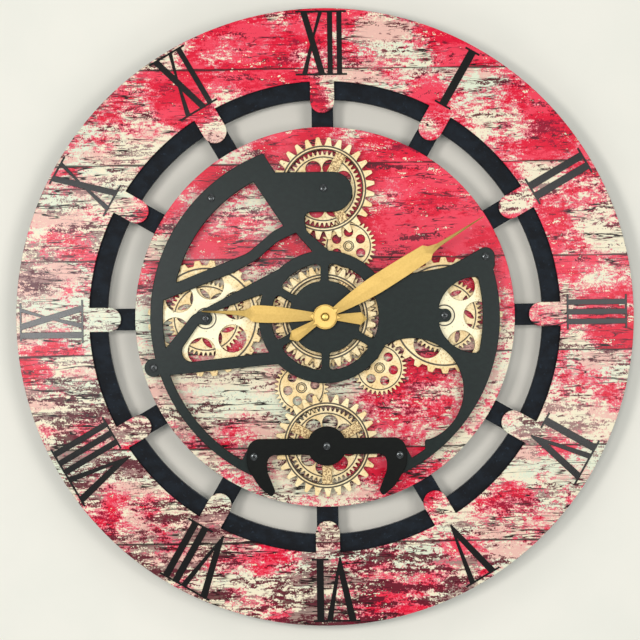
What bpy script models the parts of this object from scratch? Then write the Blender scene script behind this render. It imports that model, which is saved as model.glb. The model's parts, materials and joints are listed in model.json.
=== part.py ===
# Round wall clock with an open gear train, 24 inches across.
# The dial faces -Y, +Z is up, and the wall is the plane y = 0. The dial axis is x = 0, z = 0.
# Depths are distances from the wall, so a depth d lies at y = -d.
# Angles are in degrees, clockwise from XII as the viewer sees the dial.

import math

import bmesh
import bpy
from mathutils import Vector
from mathutils.geometry import tessellate_polygon

MM = 0.001

# Clearances
GAP = 0.3 * MM                  # between pieces that touch
RUNNING = 0.3 * MM              # between a turning gear and its post
HAND_AIR = 1.1 * MM             # in front of the screws, and between the hands
HOLE_SLACK = 0.3 * MM           # between a screw or shaft and its hole

# Sheet thicknesses and the depth of the rear ring
RING_DEPTH = 22.0 * MM
BOARD_T = 9.0 * MM
DISC_T = 6.0 * MM
FINE_T = 4.5 * MM
COARSE_T = 5.0 * MM
BRIDGE_T = 5.0 * MM
HAND_T = 1.6 * MM
HAND_EDGE = 0.6 * MM
GEAR_LIFT = 2.5 * MM            # from the disc to the fine gears
BRIDGE_AIR = 2.5 * MM           # from the coarse gears to the bridge

# Board, dial ring and disc
DIAL_R = 305.0 * MM
DIAL_INNER_R = 233.0 * MM
TAB_REACH_R = 201.5 * MM
TAB_W = 23.8 * MM
BOARD_R = 300.0 * MM
WINDOW_R = 215.7 * MM
WINDOW_INNER_R = 179.0 * MM
SPOKE_W = 21.4 * MM
WINDOW_FILLET = 2.0 * MM
DISC_R = 187.5 * MM
HOURS = 12

# Rear ring and hanger
REAR_R = 170.0 * MM
REAR_INNER_R = 142.0 * MM
HANGER_W = 44.0 * MM
HANGER_H = 18.0 * MM
HANGER_T = 1.5 * MM
HANGER_R = (REAR_R + REAR_INNER_R) / 2  # height of the plate's middle over the dial axis
POCKET_W = 22.0 * MM
POCKET_H = 15.0 * MM
POCKET_DEPTH = 9.0 * MM
KEY_HEAD_R = 4.5 * MM
KEY_SLOT_W = 4.6 * MM
KEY_RISE = 8.5 * MM

# Gear train: every fine gear has one module, so any two can mesh
MODULE = 1.5 * MM
CENTRE_TEETH = 64
SMALL_TEETH = 34
OUTER_TEETH = 48
PINION_TEETH = 24
ADDENDUM = 1.2 * MM
DEDENDUM = 2.4 * MM
CENTRE_PHASE = 2.0

TOP_Z = 126.0 * MM              # height of the top gear's axis
SIDE_X = 117.0 * MM             # distance of the side gears' axes
DRIVE_ANGLE = 133.8             # direction of the drive gear

RING_GEAR_TEETH = 28
RING_GEAR_TIP_R = 50.5 * MM
RING_GEAR_SHOULDER_R = 48.4 * MM
RING_GEAR_ROOT_R = 42.4 * MM
RING_GEAR_INNER_R = 38.2 * MM
RING_GEAR_HUB_R = 13.0 * MM
RING_GEAR_SPOKE_W = 9.4 * MM
SIDE_GEAR_TEETH = 24
SIDE_GEAR_TIP_R = 57.2 * MM
SIDE_GEAR_ROOT_R = 52.4 * MM
SIDE_GEAR_TIP_W = 4.9 * MM
SIDE_GEAR_ROOT_W = 8.2 * MM
SIDE_HOLE_R = 13.7 * MM
SIDE_HOLE_AT = 32.7 * MM
SMALL_HOLE_R = 4.55 * MM
SMALL_HOLE_AT = 13.6 * MM
OUTER_HOLE_R = 7.8 * MM
OUTER_HOLE_AT = 22.0 * MM
PETAL_LENGTH = 14.2 * MM
PETAL_HALF_W = 2.5 * MM
PETAL_AT = 24.3 * MM
PETAL_TILT = 48.0
PETALS = 12

# Directions of teeth, holes and spokes at rest
RING_TEETH_FROM = {"centre": 10.0, "top": 7.1, "bottom": 12.1}
RING_SPOKES_FROM = {"centre": 30.0, "top": 27.8, "bottom": 60.0}
WHEEL_TEETH_FROM = {"left": 7.0, "right": 14.8}
WHEEL_HOLES_FROM = {"left": 7.8, "right": 30.8}
OUTER_HOLES_FROM = {"top": 18.8, "bottom": 9.2}
SMALL_HOLES_FROM = {"upper": 0.0, "lower": 18.4, "drive": 39.3}
PETALS_FROM = -2.0

# Posts, pins, standoffs and screws
POST_R = 4.0 * MM
CENTRE_POST_R = 7.0 * MM
FLANGE_EXTRA = 2.5 * MM
PIN_R = 2.3 * MM
PIN_HEAD_R = 4.4 * MM
PIN_HEAD_T = 1.5 * MM
STANDOFF_R = 6.0 * MM
SHANK_R = 2.0 * MM
SHANK_BITE = 8.0 * MM
HEAD_R = 3.7 * MM
HEAD_T = 2.2 * MM
PINION_AXLE_R = 2.5 * MM

# Skeleton bridge
RIM_R = 171.0 * MM
ARC_W = 21.5 * MM               # widths of the rim: upper left, left, right and below
MID_W = 12.3 * MM
EYE_RIM_W = 16.7 * MM
THIN_W = 9.0 * MM
BRIDGE_RING_R = 65.0 * MM
HUB_R = 35.7 * MM
EYE_R = 52.4 * MM
EYE_SPOKE_W = 7.8 * MM
EYE_FILLET = 3.0 * MM
NOSE_R = 19.6 * MM
NOSE_X = 8.8 * MM
NOSE_DROP = 3.7 * MM
NOSE_ROOT_X = -47.0 * MM
NECK_X = -20.0 * MM
NECK_R = 85.7 * MM
NECK_FILLET = 7.0 * MM
ARM_OUTER_R = 98.0 * MM         # the upper arm bends between these distances from the axis
ARM_INNER_R = 87.0 * MM
ARM_FILLET = 25.0 * MM
ELBOW_R = 100.0 * MM            # bends of the middle arm
ELBOW_FILLET = 10.0 * MM
MIDDLE_ARM_RISE = 12.0 * MM     # its upper edge outside the ring, at the first bend
SHOULDER_R = 93.6 * MM          # bends of the right arm's upper edge
SHOULDER_FILLET = 60.0 * MM
POST_MARGIN = 13.0 * MM         # from a side gear's axis out to the arm's bend
CORNER_FILLET = 1.0 * MM
LUG_R = 9.0 * MM
BOSS_R = 6.6 * MM
LEFT_BOSS_ARC = (190.0, 40.0)   # headings between which the window's edge follows each boss
RIGHT_BOSS_ARC = (200.0, -20.0)
BAY_R = 51.0 * MM
BAY_ANGLE = 131.1
SIDE_EYE_R = 37.0 * MM
SIDE_EYE_OFF = 30.5 * MM        # its centre, outside the right gear's axis
LEFT_LUG_OUT = 3.8 * MM         # screws, measured from the rim
LEFT_LUG_ANGLE = -105.8
RIGHT_LUG_IN = 3.2 * MM
RIGHT_LUG_ANGLE = 70.1
ARC_SCREW_IN = 10.0 * MM
ARC_SCREW_ANGLE = -43.0
LOWER_SCREW_IN = 18.0 * MM
LOWER_SCREW_ANGLE = 152.3

# Lower bridge, with its claws measured from the lower screws
LOWER_DISC_R = 19.2 * MM
BAR_RISE = 7.6 * MM
BAR_FALL = 8.3 * MM
BAR_END = 6.9 * MM
BAR_END_FILLET = 13.0 * MM
CLAW_DROP = 10.5 * MM
CLAW_BEND_IN = 5.1 * MM
CLAW_BEND_DROP = 30.0 * MM
CLAW_TIP_IN = 17.1 * MM
CLAW_TIP_DROP = 40.0 * MM
CLAW_TIP_W = 6.5 * MM
CLAW_FILLET = 20.0 * MM
CLAW_INNER_IN = 12.8 * MM
CLAW_INNER_DROP = 15.0 * MM
CLAW_INNER_FILLET = 12.0 * MM
CLAW_TIP_FILLET = 2.5 * MM

# Hands
MINUTE_ANGLE = 58.4
HOUR_ANGLE = 273.3
MINUTE_HUB_R = 11.1 * MM
HOUR_HUB_R = 12.2 * MM
NUT_R = 4.2 * MM
NUT_H = 4.6 * MM
# Each station is a distance along the hand and the half width there
HOUR_BLADE = ((6, 3.3), (35, 6.7), (49, 8.0), (63, 8.4), (71, 7.9), (74, 5.3), (80, 2.7), (120, 0.4))
MINUTE_BLADE = (
    (6, 2.6), (17.5, 4.8), (43, 8.0), (60, 9.1), (90, 8.9),
    (117, 8.1), (121, 4.4), (130, 2.0), (182.3, 0.4),
)
TAIL = ((6, 2.4), (35, 6.1), (40.6, 0.5))

# Quartz movement behind the board
ARBOR_R = 1.7 * MM
PIPE_R = 2.9 * MM
BUSH_R = 4.8 * MM
BUSH_NUT_R = 7.6 * MM
BUSH_NUT_T = 2.6 * MM
CASE_W = 56.0 * MM
CASE_FILLET = 4.0 * MM
CELL_R = 7.1 * MM
CELL_L = 50.0 * MM
BAY_SLACK = 0.4 * MM
CELL_Z = -14.5 * MM
KNOB_R = 6.5 * MM
KNOB_Z = 14.0 * MM
KNOB_T = 4.0 * MM
KNOB_RECESS = 2.0 * MM
FINGER_ROOM = 1.5 * MM

# Gear motor housing behind the board
DRIVE_W = 72.0 * MM
DRIVE_H = 58.0 * MM
DRIVE_LEFT_X = 35.0 * MM
DRIVE_TOP_Z = -37.0 * MM
DRIVE_RECESS = 1.0 * MM
DRIVE_SHAFT_R = 2.5 * MM
SWITCH_W = 5.0 * MM
SWITCH_TRAVEL = 3.0 * MM
SWITCH_T = 2.5 * MM
SWITCH_SIDE = 20.0 * MM         # from the housing's middle
SWITCH_DROP = 12.0 * MM         # below the housing's top
DRIVE_WALL = 4.0 * MM

# Facets
RIM_STEPS = 60
BORE_SIDES = 12
PIN_SIDES = 8
SCREW_SIDES = 8

# Depths that follow from the sheets
HANGER_BACK = GAP + HEAD_T
BOARD_BACK = RING_DEPTH + GAP
BOARD_FRONT = BOARD_BACK + BOARD_T
DISC_BACK = BOARD_FRONT + GAP
DISC_FRONT = DISC_BACK + DISC_T
FINE_BACK = DISC_FRONT + GEAR_LIFT
FINE_FRONT = FINE_BACK + FINE_T
COARSE_BACK = FINE_FRONT + GAP
COARSE_FRONT = COARSE_BACK + COARSE_T
BRIDGE_BACK = COARSE_FRONT + BRIDGE_AIR
BRIDGE_FRONT = BRIDGE_BACK + BRIDGE_T
LOWER_BACK = BRIDGE_FRONT + GAP
LOWER_FRONT = LOWER_BACK + BRIDGE_T
HOUR_BACK = LOWER_FRONT + GAP + HEAD_T + HAND_AIR
HOUR_FRONT = HOUR_BACK + HAND_T
MINUTE_BACK = HOUR_FRONT + HAND_AIR
MINUTE_FRONT = MINUTE_BACK + HAND_T

# Colour, roughness and metallic value of each finish
FINISHES = {
    "printed_wood": ((0.62, 0.06, 0.09), 0.45, 0.0),
    "black_board": ((0.02, 0.025, 0.032), 0.55, 0.0),
    "dark_plate": ((0.05, 0.07, 0.066), 0.5, 0.0),
    "black_plate": ((0.02, 0.025, 0.024), 0.5, 0.0),
    "gilt_gear": ((0.72, 0.53, 0.24), 0.45, 0.3),
    "gilt_hand": ((0.85, 0.62, 0.2), 0.35, 0.8),
    "brass": ((0.78, 0.57, 0.22), 0.3, 1.0),
    "steel": ((0.45, 0.46, 0.47), 0.35, 1.0),
    "black_plastic": ((0.02, 0.02, 0.02), 0.5, 0.0),
    "cell_wrap": ((0.1, 0.3, 0.12), 0.4, 0.0),
}


def polar(radius, angle):
    turn = math.radians(angle)
    return (radius * math.sin(turn), radius * math.cos(turn))


def angle_of(point):
    return math.degrees(math.atan2(point[0], point[1]))


def shifted(points, centre):
    return [(x + centre[0], z + centre[1]) for x, z in points]


def arc(centre, radius, start, end, steps):
    """Points on an arc about a centre, both ends included."""
    angles = (start + (end - start) * i / steps for i in range(steps + 1))
    return shifted([polar(radius, a) for a in angles], centre)


def circle(centre, radius, sides, turn=0.0):
    return arc(centre, radius, turn, turn + 360.0, sides)[:-1]


def rim_arc(radius, start, end):
    """An arc about the dial axis, in steps of the rim's own length."""
    steps = max(2, round(abs(end - start) / 360.0 * RIM_STEPS))
    return arc((0, 0), radius, start, end, steps)


def meeting(centre_a, radius_a, centre_b, radius_b, side):
    """One of the two points where two circles cross; side is 1 or -1."""
    dx = centre_b[0] - centre_a[0]
    dz = centre_b[1] - centre_a[1]
    distance = math.hypot(dx, dz)
    along = (distance ** 2 + radius_a ** 2 - radius_b ** 2) / (2 * distance)
    off = math.sqrt(max(0.0, radius_a ** 2 - along ** 2)) * side
    ux, uz = dx / distance, dz / distance
    return (centre_a[0] + ux * along + uz * off, centre_a[1] + uz * along - ux * off)


def rounded(corners, steps=3):
    """A closed outline from corners (x, z) or (x, z, fillet radius)."""
    points = []
    count = len(corners)
    for i, corner in enumerate(corners):
        here = Vector(corner[:2])
        fillet = corner[2] if len(corner) > 2 else 0.0
        if fillet <= 0.0:
            points.append(tuple(here))
            continue
        before = (Vector(corners[i - 1][:2]) - here)
        after = (Vector(corners[(i + 1) % count][:2]) - here)
        half = before.angle(after) / 2
        reach = min(fillet / math.tan(half), 0.49 * before.length, 0.49 * after.length)
        start = here + before.normalized() * reach
        end = here + after.normalized() * reach
        middle = here + (before.normalized() + after.normalized()).normalized() * (
            math.hypot(reach, reach * math.tan(half)))
        radius = reach * math.tan(half)
        first = angle_of(start - middle)
        sweep = (angle_of(end - middle) - first + 180.0) % 360.0 - 180.0
        points += arc(tuple(middle), radius, first, first + sweep, steps)
    return points


def mirrored(points):
    """The same outline on the other side of the dial's upright line."""
    return [(-p[0],) + tuple(p[1:]) for p in reversed(points)]


def material(name):
    found = bpy.data.materials.get(name)
    if found:
        return found
    colour, roughness, metallic = FINISHES[name]
    made = bpy.data.materials.new(name)
    made.use_nodes = True
    shader = made.node_tree.nodes["Principled BSDF"]
    shader.inputs["Base Color"].default_value = (*colour, 1.0)
    shader.inputs["Roughness"].default_value = roughness
    shader.inputs["Metallic"].default_value = metallic
    made.diffuse_color = (*colour, 1.0)
    return made


def add_object(name, bm, finish, centre, smooth):
    bmesh.ops.recalc_face_normals(bm, faces=bm.faces)
    mesh = bpy.data.meshes.new(name)
    bm.to_mesh(mesh)
    bm.free()
    mesh.materials.append(material(finish))
    if smooth:
        mesh.shade_smooth()
        mesh.set_sharp_from_angle(angle=math.radians(40))
    made = bpy.data.objects.new(name, mesh)
    made.location = (centre[0], 0.0, centre[1])
    bpy.context.collection.objects.link(made)
    return made


def sheet(name, layers, finish, centre=(0, 0)):
    """A solid of stacked flat layers, each (back depth, front depth, outline, holes).

    A loop that goes on through the next layer is the same list there. The step between two
    layers is the area between the loops that only one of them has, and those may not cross.
    """
    bm = bmesh.new()
    rings = {}

    def ring(loop, depth):
        key = (id(loop), depth)
        if key not in rings:
            rings[key] = [bm.verts.new((x, -depth, z)) for x, z in loop]
        return rings[key]

    def cap(loops, depth):
        verts = [v for loop in loops for v in ring(loop, depth)]
        flat = [[Vector((x, z, 0.0)) for x, z in loop] for loop in loops]
        for triangle in tessellate_polygon(flat):
            bm.faces.new([verts[i] for i in triangle])

    walls = {}
    before = {}
    end = (layers[-1][1], None, None, [])
    for back, front, outline, holes in layers + [end]:
        loops = {id(loop): loop for loop in [outline] + holes if loop}
        changed = [before.get(key) or loops[key] for key in before.keys() ^ loops.keys()]
        cap(sorted(changed, key=len), back)
        for key in before.keys() - loops.keys():
            walls[key] = (before[key], walls[key], back)
        for key in loops.keys() - before.keys():
            walls[key] = back
        before = loops
    for loop, start, end in walls.values():
        low = ring(loop, start)
        high = ring(loop, end)
        for i in range(len(loop)):
            j = (i + 1) % len(loop)
            bm.faces.new((low[i], low[j], high[j], high[i]))
    return add_object(name, bm, finish, centre, smooth=True)


def carved(name, back, front, outline, wells, finish):
    """A sheet with wells, each (back depth, front depth, loop), that may stop inside it."""
    ends = {depth for well in wells for depth in well[:2] if back < depth < front}
    depths = sorted({back, front} | ends)
    layers = []
    for low, high in zip(depths, depths[1:]):
        holes = [loop for start, end, loop in wells if start <= low and end >= high]
        layers.append((low, high, outline, holes))
    return sheet(name, layers, finish)


def turned(name, centre, profile, finish, sides=PIN_SIDES):
    """A solid of revolution about the axis through centre, from closed (radius, depth) points."""
    bm = bmesh.new()
    rings = []
    for radius, depth in profile:
        if radius == 0:
            rings.append([bm.verts.new((0.0, -depth, 0.0))] * sides)
        else:
            rings.append([bm.verts.new((x, -depth, z)) for x, z in circle((0, 0), radius, sides)])
    for i, low in enumerate(rings):
        high = rings[(i + 1) % len(rings)]
        for j in range(sides):
            k = (j + 1) % sides
            corners = list(dict.fromkeys((low[j], low[k], high[k], high[j])))
            if len(corners) > 2:
                bm.faces.new(corners)
    return add_object(name, bm, finish, centre, smooth=True)


def cut(target, cutter, operation="DIFFERENCE"):
    """A Boolean on target, with its cutter kept as a hidden guide."""
    step = target.modifiers.new("cut", "BOOLEAN")
    step.operation = operation
    step.object = cutter
    step.solver = "EXACT"
    cutter.hide_render = True
    cutter.display_type = "WIRE"


# Gear outlines

def pitch_radius(teeth):
    return teeth * MODULE / 2


def fine_teeth(teeth, phase):
    """Pointed teeth: a tip point and a root point for each tooth."""
    tip = pitch_radius(teeth) + ADDENDUM
    root = pitch_radius(teeth) - DEDENDUM
    points = []
    for i in range(teeth):
        middle = phase + 360.0 * i / teeth
        points += [polar(tip, middle), polar(root, middle + 180.0 / teeth)]
    return points


def ring_gear_teeth(phase):
    """Coarse teeth with a rounded crown: root, shoulder, tip and shoulder points."""
    pitch = 360.0 / RING_GEAR_TEETH
    points = []
    for i in range(RING_GEAR_TEETH):
        middle = phase + pitch * i
        points.append(polar(RING_GEAR_ROOT_R, middle - 0.5 * pitch))
        points.append(polar(RING_GEAR_SHOULDER_R, middle - 0.19 * pitch))
        points.append(polar(RING_GEAR_TIP_R, middle))
        points.append(polar(RING_GEAR_SHOULDER_R, middle + 0.19 * pitch))
    return points


def side_gear_teeth(phase):
    """Coarse square teeth with a little taper."""
    points = []
    tip = math.degrees(SIDE_GEAR_TIP_W / 2 / SIDE_GEAR_TIP_R)
    root = math.degrees(SIDE_GEAR_ROOT_W / 2 / SIDE_GEAR_ROOT_R)
    for i in range(SIDE_GEAR_TEETH):
        middle = phase + 360.0 * i / SIDE_GEAR_TEETH
        points.append(polar(SIDE_GEAR_ROOT_R, middle - root))
        points.append(polar(SIDE_GEAR_TIP_R, middle - tip))
        points.append(polar(SIDE_GEAR_TIP_R, middle + tip))
        points.append(polar(SIDE_GEAR_ROOT_R, middle + root))
    return points


def meshed(phase, teeth, direction, next_teeth):
    """Phase of a gear whose gap faces the tooth of the gear that it meets."""
    offset = (direction - phase) * teeth / 360.0
    return direction + 180.0 - (0.5 - offset) * 360.0 / next_teeth


def round_holes(count, radius, at, start, sides):
    return [circle(polar(at, start + 360.0 * i / count), radius, sides) for i in range(count)]


def petal(angle, tilt):
    """A lens shaped hole: two arcs between the ends of a tilted line."""
    points = []
    for side in (1, -1):
        for i in range(3):
            t = i / 3.0
            along = (t - 0.5) * PETAL_LENGTH * side
            across = PETAL_HALF_W * (1 - (2 * t - 1) ** 2) * side
            lean = math.radians(tilt)
            x = along * math.cos(lean) - across * math.sin(lean)
            z = along * math.sin(lean) + across * math.cos(lean) + PETAL_AT
            turn = math.radians(angle)
            sine, cosine = math.sin(turn), math.cos(turn)
            points.append((x * cosine + z * sine, z * cosine - x * sine))
    return points


def petal_holes(start):
    step = 360.0 / PETALS
    return [petal(start + step * i, -PETAL_TILT if i % 2 == 0 else PETAL_TILT) for i in range(PETALS)]


def spoke_windows(outer, inner, width, count, start, steps):
    """Openings between straight spokes of one width, from an inner to an outer radius."""
    windows = []
    step = 360.0 / count
    for i in range(count):
        low = start + step * i
        far = math.degrees(math.asin(width / 2 / outer))
        near = math.degrees(math.asin(width / 2 / inner))
        window = arc((0, 0), outer, low + far, low + step - far, steps)
        window += arc((0, 0), inner, low + step - near, low + near, max(2, steps // 2))
        windows.append(window)
    return windows


def filleted(loop, corners, fillet):
    """Rounds the numbered corners of a loop of points."""
    return rounded([(*p, fillet if i in corners else 0.0) for i, p in enumerate(loop)], 2)


# Gear axes

def train_axes():
    """Places of the gear axes, from the tooth counts and the outer gears' distances."""
    first = pitch_radius(CENTRE_TEETH) + pitch_radius(SMALL_TEETH)
    second = pitch_radius(SMALL_TEETH) + pitch_radius(OUTER_TEETH)
    upper = meeting((0, 0), first, (0, TOP_Z), second, 1)
    first_pinion = pitch_radius(CENTRE_TEETH) + pitch_radius(PINION_TEETH)
    second_pinion = pitch_radius(PINION_TEETH) + pitch_radius(OUTER_TEETH)
    right = meeting((0, 0), first_pinion, (SIDE_X, 0), second_pinion, -1)
    return {
        "centre": (0.0, 0.0),
        "top": (0.0, TOP_Z),
        "bottom": (0.0, -TOP_Z),
        "left": (-SIDE_X, 0.0),
        "right": (SIDE_X, 0.0),
        "upper": upper,
        "lower": (-upper[0], -upper[1]),
        "drive": polar(first, DRIVE_ANGLE),
        "pinion_left": (-right[0], right[1]),
        "pinion_right": right,
    }


AXES = train_axes()


def direction(start, end):
    return angle_of((AXES[end][0] - AXES[start][0], AXES[end][1] - AXES[start][1]))


def train_phases():
    """Tooth phases that put every pair in mesh, followed outwards from the centre gear."""
    phases = {"centre": CENTRE_PHASE}
    for near, near_teeth, far, far_teeth in (
        ("centre", CENTRE_TEETH, "upper", SMALL_TEETH),
        ("centre", CENTRE_TEETH, "lower", SMALL_TEETH),
        ("centre", CENTRE_TEETH, "drive", SMALL_TEETH),
        ("centre", CENTRE_TEETH, "pinion_left", PINION_TEETH),
        ("centre", CENTRE_TEETH, "pinion_right", PINION_TEETH),
        ("upper", SMALL_TEETH, "top", OUTER_TEETH),
        ("lower", SMALL_TEETH, "bottom", OUTER_TEETH),
        ("pinion_left", PINION_TEETH, "left", OUTER_TEETH),
        ("pinion_right", PINION_TEETH, "right", OUTER_TEETH),
    ):
        phases[far] = meshed(phases[near], near_teeth, direction(near, far), far_teeth)
    return phases


PHASES = train_phases()


# Board, dial ring, disc and what holds them to the wall

def build_back_plate():
    windows = []
    steps = 3
    for window in spoke_windows(WINDOW_R, WINDOW_INNER_R, SPOKE_W, HOURS, 0.0, steps):
        windows.append(filleted(window, (0, steps), WINDOW_FILLET))
    bores = [circle((0, 0), BUSH_R + HOLE_SLACK, BORE_SIDES)]
    bores.append(circle(AXES["drive"], DRIVE_SHAFT_R + HOLE_SLACK, BORE_SIDES))
    outline = circle((0, 0), BOARD_R, RIM_STEPS)
    sheet("back_plate", [(BOARD_BACK, BOARD_FRONT, outline, windows + bores)], "black_board")


def build_dial_ring():
    inner = []
    step = 360.0 / HOURS
    half = TAB_W / 2
    tab_end = TAB_REACH_R + half
    root = math.degrees(math.asin(half / DIAL_INNER_R))
    for i in range(HOURS):
        hour = step * i
        inner += arc(polar(tab_end, hour), half, hour + 270.0, hour + 90.0, 6)
        inner += rim_arc(DIAL_INNER_R, hour + root, hour + step - root)
    outline = circle((0, 0), DIAL_R, RIM_STEPS)
    sheet("dial_ring", [(DISC_BACK, DISC_FRONT, outline, [inner])], "printed_wood")


def build_inner_disc():
    bores = [circle((0, 0), BUSH_R + HOLE_SLACK, BORE_SIDES)]
    bores.append(circle(AXES["drive"], DRIVE_SHAFT_R + HOLE_SLACK, BORE_SIDES))
    for side in ("left", "right"):
        bores.append(circle(AXES["pinion_" + side], PINION_AXLE_R + HOLE_SLACK, PIN_SIDES))
    outline = circle((0, 0), DISC_R, RIM_STEPS)
    sheet("inner_disc", [(DISC_BACK, DISC_FRONT, outline, bores)], "printed_wood")


def box_outline(width, height, centre=(0, 0), fillet=0.0):
    x, z = width / 2, height / 2
    corners = [(-x, -z), (x, -z), (x, z), (-x, z)]
    return rounded([(a + centre[0], b + centre[1], fillet) for a, b in corners], 2)


def hanger_screw_places():
    side = HANGER_W / 2 - HEAD_R - GAP
    return {"left": (-side, HANGER_R), "right": (side, HANGER_R)}


def build_rear_ring():
    """The spacer ring behind the board, with a seat for the hanger and a pocket behind it."""
    seat_depth = HANGER_BACK + HANGER_T + GAP
    seat = box_outline(HANGER_W + 2 * GAP, HANGER_H + 2 * GAP, (0, HANGER_R))
    pocket = box_outline(POCKET_W, POCKET_H, (0, HANGER_R))
    wells = [(0.0, RING_DEPTH, circle((0, 0), REAR_INNER_R, 40))]
    wells.append((0.0, seat_depth, seat))
    wells.append((seat_depth, POCKET_DEPTH, pocket))
    for place in hanger_screw_places().values():
        hole = circle(place, SHANK_R + HOLE_SLACK, SCREW_SIDES)
        wells.append((seat_depth, seat_depth + SHANK_BITE + HOLE_SLACK, hole))
    carved("rear_ring", 0.0, RING_DEPTH, circle((0, 0), REAR_R, 40), wells, "black_board")


def build_hanger():
    """A steel plate with a keyhole: a wall screw's head enters below and the shank slides up."""
    slot = math.degrees(math.asin(KEY_SLOT_W / 2 / KEY_HEAD_R))
    head = (0.0, HANGER_R - KEY_RISE / 2)
    neck = (0.0, HANGER_R + KEY_RISE / 2)
    key = arc(head, KEY_HEAD_R, slot, 360.0 - slot, 10)
    key += arc(neck, KEY_SLOT_W / 2, -90.0, 90.0, 5)
    places = hanger_screw_places()
    holes = [key] + [circle(place, SHANK_R + HOLE_SLACK, SCREW_SIDES) for place in places.values()]
    outline = box_outline(HANGER_W, HANGER_H, (0, HANGER_R), 1.0 * MM)
    sheet("hanger_plate", [(HANGER_BACK, HANGER_BACK + HANGER_T, outline, holes)], "steel")
    for name, place in places.items():
        screw("hanger_screw_" + name, place, HANGER_BACK, HANGER_T + SHANK_BITE, towards_wall=True)


# Gear train

def build_fine_gear(name, axis, teeth, bore, holes):
    loops = [circle((0, 0), bore, BORE_SIDES)] + holes
    sheet(name, [(FINE_BACK, FINE_FRONT, fine_teeth(teeth, PHASES[axis]), loops)], "gilt_gear", AXES[axis])


def build_ring_gear(name, bore):
    spokes_from = RING_SPOKES_FROM[name]
    windows = spoke_windows(RING_GEAR_INNER_R, RING_GEAR_HUB_R, RING_GEAR_SPOKE_W, 3, spokes_from, 4)
    holes = [circle((0, 0), bore, BORE_SIDES)] + windows
    teeth = ring_gear_teeth(RING_TEETH_FROM[name])
    sheet(name + "_gear_ring", [(COARSE_BACK, COARSE_FRONT, teeth, holes)], "gilt_gear", AXES[name])


def build_centre_gears():
    bore = CENTRE_POST_R + RUNNING
    build_fine_gear("centre_gear_fine", "centre", CENTRE_TEETH, bore, [])
    build_ring_gear("centre", bore)


def build_outer_gears():
    bore = POST_R + RUNNING
    for name, holes_from in OUTER_HOLES_FROM.items():
        holes = round_holes(8, OUTER_HOLE_R, OUTER_HOLE_AT, holes_from, 8)
        build_fine_gear(name + "_gear_fine", name, OUTER_TEETH, bore, holes)
        build_ring_gear(name, bore)


def build_side_gears():
    bore = POST_R + RUNNING
    for name, holes_from in WHEEL_HOLES_FROM.items():
        build_fine_gear(name + "_gear_fine", name, OUTER_TEETH, bore, petal_holes(PETALS_FROM))
        holes = round_holes(6, SIDE_HOLE_R, SIDE_HOLE_AT, holes_from, 10)
        hole = circle((0, 0), bore, BORE_SIDES)
        wheel = [(COARSE_BACK, COARSE_FRONT, side_gear_teeth(WHEEL_TEETH_FROM[name]), [hole] + holes)]
        sheet(name + "_gear_wheel", wheel, "gilt_gear", AXES[name])


def build_small_gears():
    for name, node, bore in (
        ("upper", "idler_gear_upper", PIN_R + RUNNING),
        ("lower", "idler_gear_lower", PIN_R + RUNNING),
        ("drive", "drive_gear", DRIVE_SHAFT_R + GAP),
    ):
        holes = round_holes(6, SMALL_HOLE_R, SMALL_HOLE_AT, SMALL_HOLES_FROM[name], 8)
        build_fine_gear(node, name, SMALL_TEETH, bore, holes)


def build_transfer_pinions():
    """Each pinion turns on its own stub axle, which runs in the disc."""
    for side in ("left", "right"):
        name = "pinion_" + side
        axle = circle((0, 0), PINION_AXLE_R, PIN_SIDES)
        shoulder = circle((0, 0), PINION_AXLE_R + FLANGE_EXTRA, PIN_SIDES)
        layers = [
            (DISC_BACK + GAP, DISC_FRONT + GAP, axle, []),
            (DISC_FRONT + GAP, FINE_BACK, shoulder, []),
            (FINE_BACK, FINE_FRONT, fine_teeth(PINION_TEETH, PHASES[name]), []),
        ]
        sheet("transfer_pinion_" + side, layers, "gilt_gear", AXES[name])


# Posts, pins, standoffs and screws

def post_profile(radius, top, hole, hole_depth):
    """A post with a flange at its foot, which carries the gear, and a hole in its end."""
    foot = DISC_FRONT + GAP
    shelf = FINE_BACK - GAP
    flange = radius + FLANGE_EXTRA
    return [
        (0, foot), (flange, foot), (flange, shelf), (radius, shelf), (radius, top),
        (hole, top), (hole, top - hole_depth), (0, top - hole_depth),
    ]


def build_posts():
    hole = SHANK_R + HOLE_SLACK
    depth = SHANK_BITE + HOLE_SLACK
    for name in ("top", "left", "right"):
        profile = post_profile(POST_R, BRIDGE_BACK - GAP, hole, depth)
        turned("gear_post_" + name, AXES[name], profile, "steel")
    profile = post_profile(POST_R, LOWER_BACK - GAP, hole, depth)
    turned("gear_post_bottom", AXES["bottom"], profile, "steel")
    foot = DISC_FRONT + GAP
    shelf = FINE_BACK - GAP
    top = BRIDGE_BACK - GAP
    flange = CENTRE_POST_R + FLANGE_EXTRA
    bore = BUSH_R + HOLE_SLACK
    tube = [(bore, foot), (flange, foot), (flange, shelf)]
    tube += [(CENTRE_POST_R, shelf), (CENTRE_POST_R, top), (bore, top)]
    turned("centre_post", (0, 0), tube, "steel", 12)


def standoff_places():
    lower = polar(RIM_R - LOWER_SCREW_IN, LOWER_SCREW_ANGLE)
    return {
        "arc": polar(RIM_R - ARC_SCREW_IN, ARC_SCREW_ANGLE),
        "lug_left": polar(RIM_R + LEFT_LUG_OUT, LEFT_LUG_ANGLE),
        "lug_right": polar(RIM_R - RIGHT_LUG_IN, RIGHT_LUG_ANGLE),
        "lower_left": (-lower[0], lower[1]),
        "lower_right": lower,
    }


def build_standoffs():
    foot = DISC_FRONT + GAP
    top = BRIDGE_BACK - GAP
    hole = SHANK_R + HOLE_SLACK
    deep = top - SHANK_BITE - HOLE_SLACK
    profile = [(0, foot), (STANDOFF_R, foot), (STANDOFF_R, top), (hole, top), (hole, deep), (0, deep)]
    for name, place in standoff_places().items():
        turned("standoff_" + name, place, profile, "black_plastic")


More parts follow.
